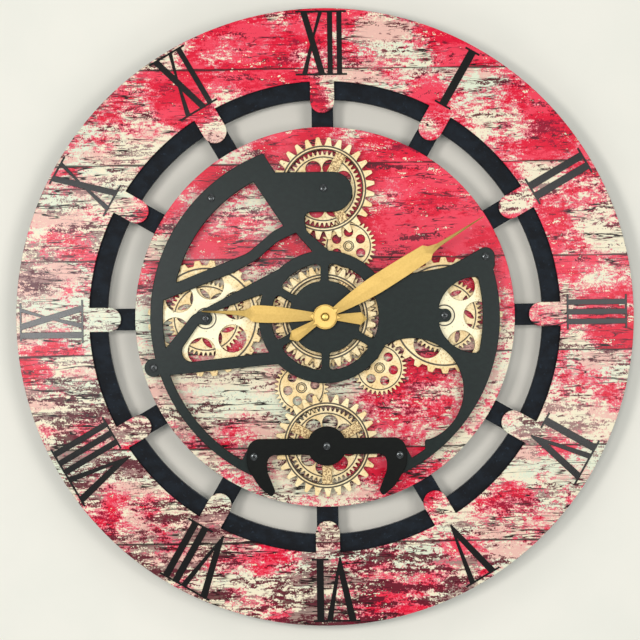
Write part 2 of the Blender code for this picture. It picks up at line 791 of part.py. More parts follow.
def screw(name, place, face, bite, towards_wall=False):
    """A pan head screw whose head seats on a face at the given depth."""
    sign = -1 if towards_wall else 1
    seat = face + sign * GAP
    top = seat + sign * HEAD_T
    tip = face - sign * bite
    profile = [(0, tip), (SHANK_R, tip), (SHANK_R, seat), (HEAD_R, seat), (0.8 * HEAD_R, top), (0, top)]
    turned(name, place, profile, "steel", SCREW_SIDES)


def build_screws():
    through_one = BRIDGE_T + SHANK_BITE
    through_two = 2 * BRIDGE_T + GAP + SHANK_BITE
    for name in ("top", "left", "right"):
        screw("screw_" + name, AXES[name], BRIDGE_FRONT, through_one)
    screw("screw_bottom", AXES["bottom"], LOWER_FRONT, through_one)
    for name, place in standoff_places().items():
        if name.startswith("lower"):
            screw("screw_" + name, place, LOWER_FRONT, through_two)
        else:
            screw("screw_" + name, place, BRIDGE_FRONT, through_one)


def build_pins():
    """Headed pins that the two idler gears turn on, and the drive gear's shaft."""
    foot = DISC_FRONT + GAP
    shelf = FINE_BACK - GAP
    seat = FINE_FRONT + GAP
    top = seat + PIN_HEAD_T
    flange = PIN_R + FLANGE_EXTRA
    profile = [
        (0, foot), (flange, foot), (flange, shelf), (PIN_R, shelf), (PIN_R, seat),
        (PIN_HEAD_R, seat), (0.8 * PIN_HEAD_R, top), (0, top),
    ]
    for name in ("upper", "lower"):
        turned("idler_pin_" + name, AXES[name], profile, "brass")
    inner_end = RING_DEPTH - SHANK_BITE
    collar = DRIVE_SHAFT_R + FLANGE_EXTRA
    shaft = [
        (0, inner_end), (DRIVE_SHAFT_R, inner_end), (DRIVE_SHAFT_R, foot), (collar, foot),
        (collar, shelf), (DRIVE_SHAFT_R, shelf), (DRIVE_SHAFT_R, seat),
        (PIN_HEAD_R, seat), (0.8 * PIN_HEAD_R, top), (0, top),
    ]
    turned("drive_shaft", AXES["drive"], shaft, "brass")


# Bridges

def corner(radius, angle, fillet=0.0):
    """A corner of an outline, by its distance and direction from the dial axis."""
    return (*polar(radius, angle), fillet)


def heading(start, end):
    return angle_of((end[0] - start[0], end[1] - start[1]))


def clockwise(centre, radius, first, last, steps):
    """An arc from one heading on to another, clockwise."""
    return arc(centre, radius, first, first + (last - first) % 360.0, steps)


def bridge_upper_right():
    """The edge from the corner left of XII round the nose and along the right arm to its lug."""
    nose = (NOSE_X, AXES["top"][1] - NOSE_DROP)
    nose_top = nose[1] + NOSE_R
    nose_low = nose[1] - NOSE_R
    lug = standoff_places()["lug_right"]
    edge = [polar(RIM_R, -20.0), (NOSE_ROOT_X, nose_top)]
    edge += arc(nose, NOSE_R, 0.0, 180.0, 10)
    edge += rounded([(nose[0], nose_low), (NECK_X, nose_low, NECK_FILLET),
                     corner(NECK_R, -11.3, NECK_FILLET), corner(BRIDGE_RING_R, 4.2)])[1:-1]
    edge += rim_arc(BRIDGE_RING_R, 4.2, 49.5)
    lug_foot = corner(RIM_R - 2 * RIGHT_LUG_IN, 67.1)
    edge += rounded([corner(BRIDGE_RING_R, 51.3), corner(SHOULDER_R, 63.8, SHOULDER_FILLET),
                     corner(SIDE_X + POST_MARGIN, 68.7, SHOULDER_FILLET), lug_foot])[1:]
    edge += arc(lug, LUG_R, heading(lug, edge[-1]) + 8.0, 95.0, 6)
    edge.append((lug[0] + LUG_R, lug[1] - LUG_R))
    return edge


def bridge_outline():
    """The outer edge of the skeleton bridge, clockwise from the corner left of XII."""
    places = standoff_places()
    lug = places["lug_left"]
    thin_r = RIM_R - THIN_W
    turn = LOWER_SCREW_ANGLE
    tab = math.degrees(math.asin(LUG_R / RIM_R))
    tab_in = math.degrees(math.asin(LUG_R / thin_r))
    bay = polar(thin_r - BAY_R, BAY_ANGLE)
    bay_corner = polar(thin_r - 0.5 * THIN_W, 140.0)
    bay_end = meeting((0, 0), BRIDGE_RING_R, bay, BAY_R, -1)

    edge = bridge_upper_right()
    edge += rim_arc(RIM_R, angle_of(edge[-1]) + 1.0, turn + tab)
    edge += arc(places["lower_right"], LUG_R, turn + 90.0, turn + 270.0, 6)
    edge += rim_arc(thin_r, turn - tab_in, 143.6)
    step = corner(thin_r - 0.8 * THIN_W, 141.8, 3 * CORNER_FILLET)
    edge += rounded([corner(thin_r, 143.4), step, bay_corner])[1:-1]
    start = heading(bay, bay_corner)
    edge += arc(bay, BAY_R, start, start - (start - heading(bay, bay_end)) % 360.0, 14)
    edge += rim_arc(BRIDGE_RING_R, angle_of(bay_end) + 3.0, 225.6)
    edge += rim_arc(thin_r, -109.9, tab_in - turn)
    edge += arc(places["lower_left"], LUG_R, 90.0 - turn, 270.0 - turn, 6)
    low = meeting((0, 0), RIM_R, lug, LUG_R, -1)
    high = meeting((0, 0), RIM_R, lug, LUG_R, 1)
    edge += rim_arc(RIM_R, -turn - tab, angle_of(low))[:-1]
    edge += clockwise(lug, LUG_R, heading(lug, low), heading(lug, high), 7)
    edge += rim_arc(RIM_R, angle_of(high), -20.0)[1:-1]
    return edge


def upper_window():
    """Between the wide upper rim and the bent upper arm."""
    arc_r = RIM_R - ARC_W
    window = rim_arc(arc_r, -76.3, -27.2)
    window += rounded([corner(arc_r, -26.9), corner(ARM_OUTER_R, -24.0, CORNER_FILLET),
                       corner(ARM_OUTER_R, -30.5, ARM_FILLET), corner(ARM_OUTER_R, -49.6, ARM_FILLET),
                       corner(arc_r, -76.3)])[1:-1]
    return window


def middle_window():
    """Between the upper arm and the middle arm, from the rim to the ring."""
    mid_r = RIM_R - MID_W
    window = rim_arc(mid_r, -100.4, -83.4)
    window += rounded([corner(mid_r, -83.4), corner(ELBOW_R, -63.9, ARM_FILLET),
                       corner(ARM_INNER_R, -49.4, ARM_FILLET), corner(ARM_INNER_R, -31.9, ARM_FILLET),
                       corner(ARM_INNER_R, -18.5, CORNER_FILLET), corner(BRIDGE_RING_R, -9.7)])[1:-1]
    window += rim_arc(BRIDGE_RING_R, -10.4, -43.0)
    window += rounded([corner(BRIDGE_RING_R, -46.8),
                       corner(BRIDGE_RING_R + MIDDLE_ARM_RISE, -62.8, ARM_FILLET),
                       corner(ELBOW_R, -78.6, ELBOW_FILLET),
                       corner(SIDE_X + POST_MARGIN, -88.6, ELBOW_FILLET),
                       corner(mid_r, -100.4)])[1:-1]
    return window


def left_window():
    """Between the middle arm and the lower arm, with the left gear's screw boss standing in it."""
    boss = arc(AXES["left"], BOSS_R, *LEFT_BOSS_ARC, 5)
    window = rim_arc(BRIDGE_RING_R, -69.5, -121.6)
    window += rounded([corner(BRIDGE_RING_R, -121.6), corner(RIM_R - 1.05 * MID_W, -106.4, ELBOW_FILLET),
                       corner(SIDE_X + 0.5 * POST_MARGIN, -92.4, ELBOW_FILLET), boss[0]])[1:-1]
    window += boss
    window.append(polar(ELBOW_R, -84.4))
    return window


def right_window():
    """A round opening cut off by the rim, with the right gear's screw boss standing in it."""
    post = AXES["right"]
    eye = (SIDE_X + SIDE_EYE_OFF, 0.0)
    outer_r = RIM_R - EYE_RIM_W
    boss_reach = 1.4 * BOSS_R
    upper = meeting(eye, SIDE_EYE_R, post, boss_reach, 1)
    lower = meeting(eye, SIDE_EYE_R, post, boss_reach, -1)
    top = meeting((0, 0), outer_r, eye, SIDE_EYE_R, -1)
    low = meeting((0, 0), outer_r, eye, SIDE_EYE_R, 1)
    window = rim_arc(outer_r, angle_of(top), angle_of(low))
    window += clockwise(eye, SIDE_EYE_R, heading(eye, low), heading(eye, lower), 5)[1:]
    window += arc(post, BOSS_R, *RIGHT_BOSS_ARC, 7)
    window += clockwise(eye, SIDE_EYE_R, heading(eye, upper), heading(eye, top), 5)[:-1]
    return window


def ring_windows():
    """The six openings between the hub and the ring."""
    steps = 4
    windows = []
    for window in spoke_windows(EYE_R, HUB_R, EYE_SPOKE_W, 6, 0.0, steps):
        corners = (0, steps, steps + 1, len(window) - 1)
        windows.append(filleted(window, corners, EYE_FILLET))
    return windows


def build_bridge():
    holes = [upper_window(), middle_window(), left_window(), right_window()] + ring_windows()
    hole = SHANK_R + HOLE_SLACK
    holes.append(circle((0, 0), BUSH_R + HOLE_SLACK, BORE_SIDES))
    for name in ("top", "left", "right"):
        holes.append(circle(AXES[name], hole, SCREW_SIDES))
    for place in standoff_places().values():
        holes.append(circle(place, hole, SCREW_SIDES))
    sheet("bridge_plate", [(BRIDGE_BACK, BRIDGE_FRONT, bridge_outline(), holes)], "dark_plate")


def lower_bridge_half():
    """The right half of the lower bridge's edge, from the top of its disc to the bottom."""
    axis = AXES["bottom"]
    side, low = standoff_places()["lower_right"]
    top_x = math.sqrt(LOWER_DISC_R ** 2 - BAR_RISE ** 2)
    low_x = math.sqrt(LOWER_DISC_R ** 2 - BAR_FALL ** 2)
    bar_top = axis[1] + BAR_RISE
    bar_low = axis[1] - BAR_FALL
    half = arc(axis, LOWER_DISC_R, 0.0, angle_of((top_x, BAR_RISE)), 4)
    half += rounded([
        (top_x, bar_top),
        (side + BAR_END, bar_top, BAR_END_FILLET),
        (side + BAR_END, low - CLAW_DROP, CLAW_FILLET),
        (side - CLAW_BEND_IN, low - CLAW_BEND_DROP, CLAW_FILLET),
        (side - CLAW_TIP_IN, low - CLAW_TIP_DROP, CLAW_TIP_FILLET),
        (side - CLAW_TIP_IN - 0.5 * CLAW_TIP_W, low - CLAW_TIP_DROP + 0.9 * CLAW_TIP_W, CLAW_TIP_FILLET),
        (side - CLAW_INNER_IN, low - CLAW_INNER_DROP, CLAW_INNER_FILLET),
        (side - CLAW_INNER_IN, bar_low, CLAW_INNER_FILLET),
        (low_x, bar_low),
    ])[1:-1]
    half += arc(axis, LOWER_DISC_R, angle_of((low_x, -BAR_FALL)), 180.0, 4)
    return half


def build_lower_bridge():
    right = lower_bridge_half()
    outline = right + mirrored(right)[1:-1]
    hole = SHANK_R + HOLE_SLACK
    screws = standoff_places()
    places = [AXES["bottom"], screws["lower_left"], screws["lower_right"]]
    holes = [circle(place, hole, SCREW_SIDES) for place in places]
    sheet("lower_bridge", [(LOWER_BACK, LOWER_FRONT, outline, holes)], "black_plate")


# Hands

def blade(name, stations, back):
    """A hand's blade along +Z: a flat back, upright edges and a ridge along the middle."""
    bm = bmesh.new()
    sections = []
    for along, half in stations:
        rise = HAND_EDGE + (HAND_T - HAND_EDGE) * min(1.0, half / 6.0)
        z = along * MM
        x = half * MM
        points = ((-x, back), (-x, back + HAND_EDGE), (0.0, back + rise), (x, back + HAND_EDGE), (x, back))
        sections.append([bm.verts.new((px, -depth, z)) for px, depth in points])
    for low, high in zip(sections, sections[1:]):
        for j in range(5):
            k = (j + 1) % 5
            bm.faces.new((low[j], low[k], high[k], high[j]))
    bm.faces.new(sections[0])
    bm.faces.new(sections[-1])
    made = add_object(name, bm, "gilt_hand", (0, 0), smooth=False)
    made.hide_render = True
    made.display_type = "WIRE"
    return made


def build_hand(name, stations, hub, bore, collar, back, angle):
    """A stamped hand: a hub with a collar behind it, a blade and a tail."""
    collar_back = back - (HAND_AIR - GAP)
    profile = [(bore, collar_back), (collar, collar_back), (collar, back), (hub, back),
               (hub, back + HAND_T), (bore, back + HAND_T)]
    hand = turned(name, (0, 0), profile, "gilt_hand", 16)
    front = blade(name + "_blade_guide", stations, back + 0.05 * MM)
    tail = blade(name + "_tail_guide", TAIL, back + 0.05 * MM)
    tail.rotation_euler = (0.0, math.pi, 0.0)
    through = back + 2 * HAND_T
    punch = [(0, back - MM), (bore, back - MM), (bore, through), (0, through)]
    hole = turned(name + "_bore_guide", (0, 0), punch, "gilt_hand", 16)
    turn = math.radians(angle)
    hand.rotation_euler = (0.0, turn, 0.0)
    for guide in (front, tail, hole):
        guide.parent = hand
    cut(hand, front, "UNION")
    cut(hand, tail, "UNION")
    cut(hand, hole, "DIFFERENCE")
    return hand


def build_hands():
    pipe_bore = PIPE_R + GAP
    arbor_bore = ARBOR_R + GAP
    build_hand("hour_hand", HOUR_BLADE, HOUR_HUB_R, pipe_bore, pipe_bore + 1.4 * MM, HOUR_BACK, HOUR_ANGLE)
    build_hand("minute_hand", MINUTE_BLADE, MINUTE_HUB_R, arbor_bore, arbor_bore + 1.4 * MM, MINUTE_BACK,
               MINUTE_ANGLE)
    seat = MINUTE_FRONT + GAP
    inside = seat + 0.6 * NUT_H
    profile = [
        (arbor_bore, seat), (NUT_R, seat), (NUT_R, seat + 0.4 * NUT_H), (0.7 * NUT_R, seat + 0.85 * NUT_H),
        (0, seat + NUT_H), (0, inside), (arbor_bore, inside),
    ]
    turned("hand_nut", (0, 0), profile, "brass", 12)


# Quartz movement

def build_movement():
    """A square case that rests on the wall: cell bay and knob well behind, pipe well in front."""
    pipe_hole = PIPE_R + HOLE_SLACK
    well_back = RING_DEPTH - SHANK_BITE
    knob_front = KNOB_RECESS + KNOB_T
    bay = box_outline(CELL_L + 2 * BAY_SLACK, 2 * (CELL_R + BAY_SLACK), (0, CELL_Z))
    wells = [
        (0.0, 2 * (CELL_R + BAY_SLACK), bay),
        (0.0, knob_front + GAP, circle((0, KNOB_Z), KNOB_R + FINGER_ROOM, 12)),
        (well_back, RING_DEPTH, circle((0, 0), pipe_hole, BORE_SIDES)),
    ]
    outline = box_outline(CASE_W, CASE_W, (0, 0), CASE_FILLET)
    carved("movement_case", 0.0, RING_DEPTH, outline, wells, "black_plastic")
    knob = [(0, KNOB_RECESS), (KNOB_R, KNOB_RECESS), (KNOB_R, knob_front), (0, knob_front)]
    turned("set_knob", (0, KNOB_Z), knob, "black_plastic", 12)
    build_cell("movement_cell", 0.0, CELL_R + BAY_SLACK, CELL_Z)

    nut_back = BRIDGE_FRONT + GAP
    nut_front = nut_back + BUSH_NUT_T
    tube = [(pipe_hole, BOARD_BACK), (BUSH_R, BOARD_BACK), (BUSH_R, nut_front), (pipe_hole, nut_front)]
    turned("mounting_bush", (0, 0), tube, "brass", 12)
    thread = circle((0, 0), BUSH_R + HOLE_SLACK, BORE_SIDES)
    sheet("bush_nut", [(nut_back, nut_front, circle((0, 0), BUSH_NUT_R, 6), [thread])], "steel")

    arbor_hole = ARBOR_R + GAP
    pipe_back = well_back + GAP
    pipe = [(arbor_hole, pipe_back), (PIPE_R, pipe_back), (PIPE_R, HOUR_FRONT), (arbor_hole, HOUR_FRONT)]
    turned("hour_pipe", (0, 0), pipe, "brass")
    arbor_tip = MINUTE_FRONT + 0.6 * NUT_H
    arbor = [(0, pipe_back), (ARBOR_R, pipe_back), (ARBOR_R, arbor_tip), (0, arbor_tip)]
    turned("minute_arbor", (0, 0), arbor, "brass")


def build_cell(name, x, depth, z):
    """A round cell lying along X, with its raised contact at the +X end."""
    bm = bmesh.new()
    half = CELL_L / 2
    cap = 1.2 * MM
    tip = 2.6 * MM
    profile = ((0, -half), (CELL_R, -half), (CELL_R, half - cap), (tip, half - cap), (tip, half), (0, half))
    rings = []
    for radius, along in profile:
        if radius == 0:
            rings.append([bm.verts.new((along, 0, 0))] * PIN_SIDES)
        else:
            rings.append([bm.verts.new((along, b, a)) for a, b in circle((0, 0), radius, PIN_SIDES)])
    for low, high in zip(rings, rings[1:]):
        for j in range(PIN_SIDES):
            k = (j + 1) % PIN_SIDES
            corners = list(dict.fromkeys((low[j], low[k], high[k], high[j])))
            bm.faces.new(corners)
    cell = add_object(name, bm, "cell_wrap", (0, 0), smooth=True)
    cell.location = (x, -depth, z)


# Gear motor

def build_drive():
    """A closed housing with an open cell bay, a shaft well and a sliding switch behind."""
    centre = (DRIVE_LEFT_X + DRIVE_W / 2, DRIVE_TOP_Z - DRIVE_H / 2)
    cell_z = DRIVE_TOP_Z - DRIVE_H + CELL_R + BAY_SLACK + DRIVE_WALL
    bay_front = DRIVE_RECESS + 2 * (CELL_R + BAY_SLACK)
    switch_front = DRIVE_RECESS + SWITCH_T
    switch_at = (centre[0] + SWITCH_SIDE, DRIVE_TOP_Z - SWITCH_DROP)
    slot_at = (switch_at[0] + SWITCH_TRAVEL / 2, switch_at[1])
    slot = box_outline(SWITCH_W + SWITCH_TRAVEL + 2 * BAY_SLACK, SWITCH_W + 2 * BAY_SLACK, slot_at)
    bay = box_outline(CELL_L + 2 * BAY_SLACK, 2 * (CELL_R + BAY_SLACK), (centre[0], cell_z))
    shaft = circle(AXES["drive"], DRIVE_SHAFT_R + HOLE_SLACK, BORE_SIDES)
    wells = [
        (DRIVE_RECESS, bay_front, bay),
        (DRIVE_RECESS, switch_front + GAP, slot),
        (RING_DEPTH - SHANK_BITE - GAP, RING_DEPTH, shaft),
    ]
    outline = box_outline(DRIVE_W, DRIVE_H, centre, CASE_FILLET)
    carved("drive_case", DRIVE_RECESS, RING_DEPTH, outline, wells, "black_plastic")
    knob = box_outline(SWITCH_W, SWITCH_W, switch_at)
    sheet("power_switch", [(DRIVE_RECESS, switch_front, knob, [])], "steel")
    build_cell("drive_cell", centre[0], DRIVE_RECESS + CELL_R + BAY_SLACK, cell_z)


def clear_scene():
    for old in list(bpy.data.objects):
        bpy.data.objects.remove(old, do_unlink=True)


def main():
    clear_scene()
    build_back_plate()
    build_dial_ring()
    build_inner_disc()
    build_rear_ring()
    build_hanger()
    build_centre_gears()
    build_outer_gears()
    build_side_gears()
    build_small_gears()
    build_transfer_pinions()
    build_posts()
    build_standoffs()
    build_screws()
    build_pins()
    build_bridge()
    build_lower_bridge()
    build_hands()
    build_movement()
    build_drive()


main()
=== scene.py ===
import json
import math

import bpy
import numpy as np
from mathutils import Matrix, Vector
from mathutils.geometry import delaunay_2d_cdt, tessellate_polygon


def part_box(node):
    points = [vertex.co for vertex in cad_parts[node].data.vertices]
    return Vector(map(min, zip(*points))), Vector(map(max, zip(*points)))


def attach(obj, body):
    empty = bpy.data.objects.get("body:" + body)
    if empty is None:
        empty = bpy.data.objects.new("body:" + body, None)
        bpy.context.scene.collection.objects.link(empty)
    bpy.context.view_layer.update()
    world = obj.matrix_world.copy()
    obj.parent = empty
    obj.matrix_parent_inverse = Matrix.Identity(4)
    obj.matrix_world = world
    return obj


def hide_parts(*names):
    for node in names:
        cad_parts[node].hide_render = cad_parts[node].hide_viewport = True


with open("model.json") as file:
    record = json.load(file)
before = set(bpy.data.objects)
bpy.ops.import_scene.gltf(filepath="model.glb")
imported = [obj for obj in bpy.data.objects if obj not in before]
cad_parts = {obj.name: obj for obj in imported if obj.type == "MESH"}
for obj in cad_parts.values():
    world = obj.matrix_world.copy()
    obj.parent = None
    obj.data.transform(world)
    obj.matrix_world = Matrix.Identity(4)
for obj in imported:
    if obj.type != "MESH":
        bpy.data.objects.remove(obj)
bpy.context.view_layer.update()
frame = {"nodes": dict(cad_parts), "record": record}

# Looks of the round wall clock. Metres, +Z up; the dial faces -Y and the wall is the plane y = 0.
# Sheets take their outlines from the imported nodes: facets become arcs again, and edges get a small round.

mm = 0.001
weld = 2e-6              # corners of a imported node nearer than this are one
touching = 0.01 * mm     # points of an outline nearer than this are one
insideOnly = 1           # asks the triangulation for just what its polygons cover
scene = bpy.context.scene
bodyOf = {node: body for body, nodes in frame["record"]["behaviour"]["bodies"].items() for node in nodes}


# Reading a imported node

def nodeMesh(node):
    # Corners of the loose triangles, equal ones merged: points (n, 3) and triangles (m, 3)
    mesh = frame["nodes"][node].data
    corners = np.empty(len(mesh.vertices) * 3)
    mesh.vertices.foreach_get("co", corners)
    corners = corners.reshape(-1, 3)
    triangles = np.empty(len(mesh.loops), int)
    mesh.loops.foreach_get("vertex_index", triangles)
    _, first, same = np.unique(np.round(corners / weld), axis=0, return_index=True, return_inverse=True)
    return corners[first], same.reshape(-1)[triangles].reshape(-1, 3)


def loopsOf(count, triangles):
    # Open edges of a sheet of triangles, joined into closed loops with the sheet on their left.
    # Each corner knows its follower; doubling that step finds a loop's first corner and every corner's rank.
    edges = np.concatenate([triangles[:, pair] for pair in ((0, 1), (1, 2), (2, 0))])
    isOpen = ~np.isin(edges[:, 0] * count + edges[:, 1], edges[:, 1] * count + edges[:, 0])
    follower = np.arange(count)
    follower[edges[isOpen, 0]] = edges[isOpen, 1]
    rounds = range(int(math.log2(count)) + 1)
    label = np.arange(count)
    step = follower.copy()
    for _ in rounds:
        label = np.minimum(label, label[step])
        step = step[step]
    isFirst = label == np.arange(count)
    stepsLeft = np.where(isFirst, 0, 1)
    step = np.where(isFirst, np.arange(count), follower)
    for _ in rounds:
        stepsLeft = stepsLeft + stepsLeft[step]
        step = step[step]
    corners = np.unique(edges[isOpen, 0])
    rank = np.where(isFirst, -count, -stepsLeft)
    loops = [corners[label[corners] == first] for first in np.unique(label[corners])]
    return [loop[np.argsort(rank[loop])] for loop in loops]


def outlines(node, back=False):
    # Loops (n, 2) in (x, z) round the front or back face of a sheet, the largest one first
    points, triangles = nodeMesh(node)
    depth = points[:, 1]
    level = depth.max() if back else depth.min()
    flat = triangles[(np.abs(depth[triangles] - level) < touching).all(axis=1)]
    if back:
        flat = flat[:, ::-1]
    return largestFirst([points[loop][:, [0, 2]] for loop in loopsOf(len(points), flat)])


def largestFirst(loops):
    # By area, half the sum of the cross products of each corner and the next
    def area(loop):
        following = np.roll(loop, -1, axis=0)
        return 0.5 * float((loop[:, 0] * following[:, 1] - loop[:, 1] * following[:, 0]).sum())

    return sorted(loops, key=lambda loop: -abs(area(loop)))


def sweep(flat, triangles):
    # Twice the area of each triangle, less than nothing where its corners run backwards
    a, b, c = flat[triangles[:, 0]], flat[triangles[:, 1]], flat[triangles[:, 2]]
    return (b[:, 0] - a[:, 0]) * (c[:, 1] - a[:, 1]) - (b[:, 1] - a[:, 1]) * (c[:, 0] - a[:, 0])


def turnedAlike(flat, triangles):
    # Triangles whose corners run backwards are turned round
    return np.where((sweep(flat, triangles) < 0.0)[:, None], triangles[:, ::-1], triangles)


# Outlines

# Facets become arcs from a least turn on, in degrees, unless neighbouring sides are too uneven. A side gets
# a point every few degrees, clear of its ends. A corner's round takes at most a share of a side.
arc = {"leastTurn": 0.5, "uneven": 1.7, "degrees": 5.0, "leastPieces": 3, "mostPieces": 12, "margin": 0.02,
       "cornerPoints": 5, "cornerShare": 0.45}


def eased(loop, fillet, sharp=50.0):
    # Where neighbouring sides turn alike, each side gets the bulge of the circle through its corners:
    # a point at share t of a chord c moves out by half of curvature times c squared times t (1 - t).
    # A turn sharper than `sharp` degrees becomes a small curve between the points where the fillet starts.
    side = np.roll(loop, -1, axis=0) - loop
    length = np.linalg.norm(side, axis=1)
    ahead = side / length[:, None]
    behind = np.roll(ahead, 1, axis=0)
    turn = np.arctan2(behind[:, 0] * ahead[:, 1] - behind[:, 1] * ahead[:, 0], (behind * ahead).sum(axis=1))
    lengthBehind = np.roll(length, 1)
    uneven = np.maximum(length, lengthBehind) / np.minimum(length, lengthBehind)
    corner = np.abs(turn) > math.radians(sharp)
    smooth = ~corner & (np.abs(turn) > math.radians(arc["leastTurn"])) & (uneven < arc["uneven"])
    across = np.linalg.norm(np.roll(loop, -1, axis=0) - np.roll(loop, 1, axis=0), axis=1)
    curvature = np.where(smooth, 2.0 * np.sin(turn) / across, 0.0)
    nextCurvature = np.roll(curvature, -1)
    votes = smooth.astype(float) + np.roll(smooth, -1)
    bulge = (curvature + nextCurvature) / np.maximum(votes, 1.0)
    bulge = np.where(curvature * nextCurvature < 0.0, 0.0, bulge)

    cut = np.where(corner, np.minimum(fillet * np.tan(np.abs(turn) / 2.0),
                                      arc["cornerShare"] * np.minimum(length, lengthBehind)), 0.0)
    share = np.linspace(0.0, 1.0, arc["cornerPoints"])[None, :, None]
    start = (loop - behind * cut[:, None])[:, None]
    end = (loop + ahead * cut[:, None])[:, None]
    rounding = start * (1.0 - share) ** 2 + loop[:, None] * 2.0 * share * (1.0 - share) + end * share ** 2

    pieces = np.ceil(np.abs(bulge) * length / math.radians(arc["degrees"]))
    pieces = np.where(bulge == 0.0, 1, np.clip(pieces, arc["leastPieces"], arc["mostPieces"]))
    place = np.arange(1, arc["mostPieces"])[None] / pieces[:, None]
    room = (place > cut[:, None] / length[:, None] + arc["margin"]) & (
        place < 1.0 - np.roll(cut, -1)[:, None] / length[:, None] - arc["margin"])
    rightHand = np.stack([ahead[:, 1], -ahead[:, 0]], axis=1)[:, None]
    out = (0.5 * bulge * length ** 2)[:, None, None] * (place * (1.0 - place))[:, :, None]
    along = loop[:, None] + side[:, None] * place[:, :, None] + rightHand * out

    points = np.concatenate([rounding, along], axis=1).reshape(-1, 2)
    wanted = np.concatenate([np.repeat(cut[:, None] > 0.0, arc["cornerPoints"], axis=1), room], axis=1)
    wanted[:, 0] = True
    points = points[wanted.reshape(-1)]
    return points[np.linalg.norm(points - np.roll(points, 1, axis=0), axis=1) > touching]


def unit(vectors):
    return vectors / np.linalg.norm(vectors, axis=1)[:, None]


def outward(loop, least=0.6):
    # Direction at each corner that leads away from the sheet, longer where the outline bends: 1 over the
    # cosine of half the turn, which counts as `least` where it is smaller
    side = unit(np.roll(loop, -1, axis=0) - loop)
    normal = np.stack([side[:, 1], -side[:, 0]], axis=1)
    middle = unit(normal + np.roll(normal, 1, axis=0))
    return middle / np.maximum((middle * normal).sum(axis=1), least)[:, None]


def circle(radius, count):
    angle = np.linspace(0.0, 2.0 * math.pi, count, endpoint=False)
    return np.stack([radius * np.cos(angle), radius * np.sin(angle)], axis=1)


def toothed(teeth, root, tip, rootWidth, tipWidth, centre, toothAt):
    # One trapezoid a tooth: root, tip, tip, root, at angles that give the widths at their radii
    middle = toothAt + np.arange(teeth)[:, None] * 2.0 * math.pi / teeth
    halfRoot = 0.5 * rootWidth / root
    halfTip = 0.5 * tipWidth / tip
    angle = (middle + np.array([-halfRoot, -halfTip, halfTip, halfRoot])).reshape(-1)
    radius = np.tile([root, tip, tip, root], teeth)
    return np.stack([centre[0] + radius * np.cos(angle), centre[1] + radius * np.sin(angle)], axis=1)


def joined(strokes):
    # The outline of overlapping polygons: triangles that any stroke covers, and their open edges
    points = [Vector(p) for stroke in strokes for p in stroke]
    ends = np.cumsum([0] + [len(stroke) for stroke in strokes])
    faces = [list(range(a, b)) for a, b in zip(ends[:-1], ends[1:])]
    corners, _, made, _, _, cover = delaunay_2d_cdt(points, [], faces, insideOnly, 1e-7)
    flat = np.array([tuple(p) for p in corners])
    triangles = turnedAlike(flat, np.array([face for face, owners in zip(made, cover) if owners]))
    return largestFirst([flat[loop] for loop in loopsOf(len(flat), triangles)])


def straightened(loop, bend=1e-3):
    # Drops corners that lie on a straight run: the sine of their turn is below `bend`
    side = unit(np.roll(loop, -1, axis=0) - loop)
    behind = np.roll(side, 1, axis=0)
    return loop[np.abs(side[:, 0] * behind[:, 1] - side[:, 1] * behind[:, 0]) > bend]


def silhouette(node, sliver=1e-9):
    # The outline of all that faces the viewer, seen along Y, without slivers
    points, triangles = nodeMesh(node)
    flat = points[:, [0, 2]]
    seen = triangles[sweep(flat, triangles) > sliver]
    return [straightened(loop) for loop in joined(flat[seen].tolist())]


# Meshes

def filled(loops):
    # Triangles between an outer loop and its holes, all turned the same way
    rims = [[Vector((p[0], p[1], 0.0)) for p in loop.tolist()] for loop in loops]
    return turnedAlike(np.concatenate(loops), np.array(tessellate_polygon(rims)))


def sheetMesh(loops, front, back, edge, backEdge=None):
    # A profile carried along every loop: a quarter round in from the front face, the wall, a quarter round
    # into the back face. Inset e (1 - sin a) goes with depth e (1 - cos a).
    backEdge = edge if backEdge is None else backEdge
    steps = 3
    angle = np.linspace(0.0, 0.5 * math.pi, steps + 1)
    inset = np.concatenate([edge * (1.0 - np.sin(angle)), backEdge * (1.0 - np.sin(angle[::-1]))])
    depth = np.concatenate([front + edge * (1.0 - np.cos(angle)),
                            back - backEdge * (1.0 - np.cos(angle[::-1]))])
    rings = len(inset)
    points, walls, fronts, backs = [], [], [], []
    base = 0
    for loop in loops:
        count = len(loop)
        ring = loop[None] - outward(loop)[None] * inset[:, None, None]
        height = np.broadcast_to(depth[:, None, None], (rings, count, 1))
        points.append(np.concatenate([ring[:, :, :1], height, ring[:, :, 1:]], axis=2).reshape(-1, 3))
        k, i = np.meshgrid(np.arange(rings - 1), np.arange(count), indexing="ij")
        j = (i + 1) % count
        walls.append(base + np.stack([k * count + i, (k + 1) * count + i, (k + 1) * count + j, k * count + j],
                                     axis=2).reshape(-1, 4))
        fronts.append(base + np.arange(count))
        backs.append(base + (rings - 1) * count + np.arange(count))
        base += rings * count
    points = np.concatenate(points)
    fronts = np.concatenate(fronts)
    backs = np.concatenate(backs)
    starts = np.cumsum([0] + [len(loop) for loop in loops])
    cap = filled([points[fronts[a:b]][:, [0, 2]] for a, b in zip(starts[:-1], starts[1:])])
    rounds = np.concatenate([np.arange((rings - 1) * len(loop)) < steps * len(loop) for loop in loops])
    return points, np.concatenate(walls), rounds, fronts[cap], backs[cap][:, ::-1]


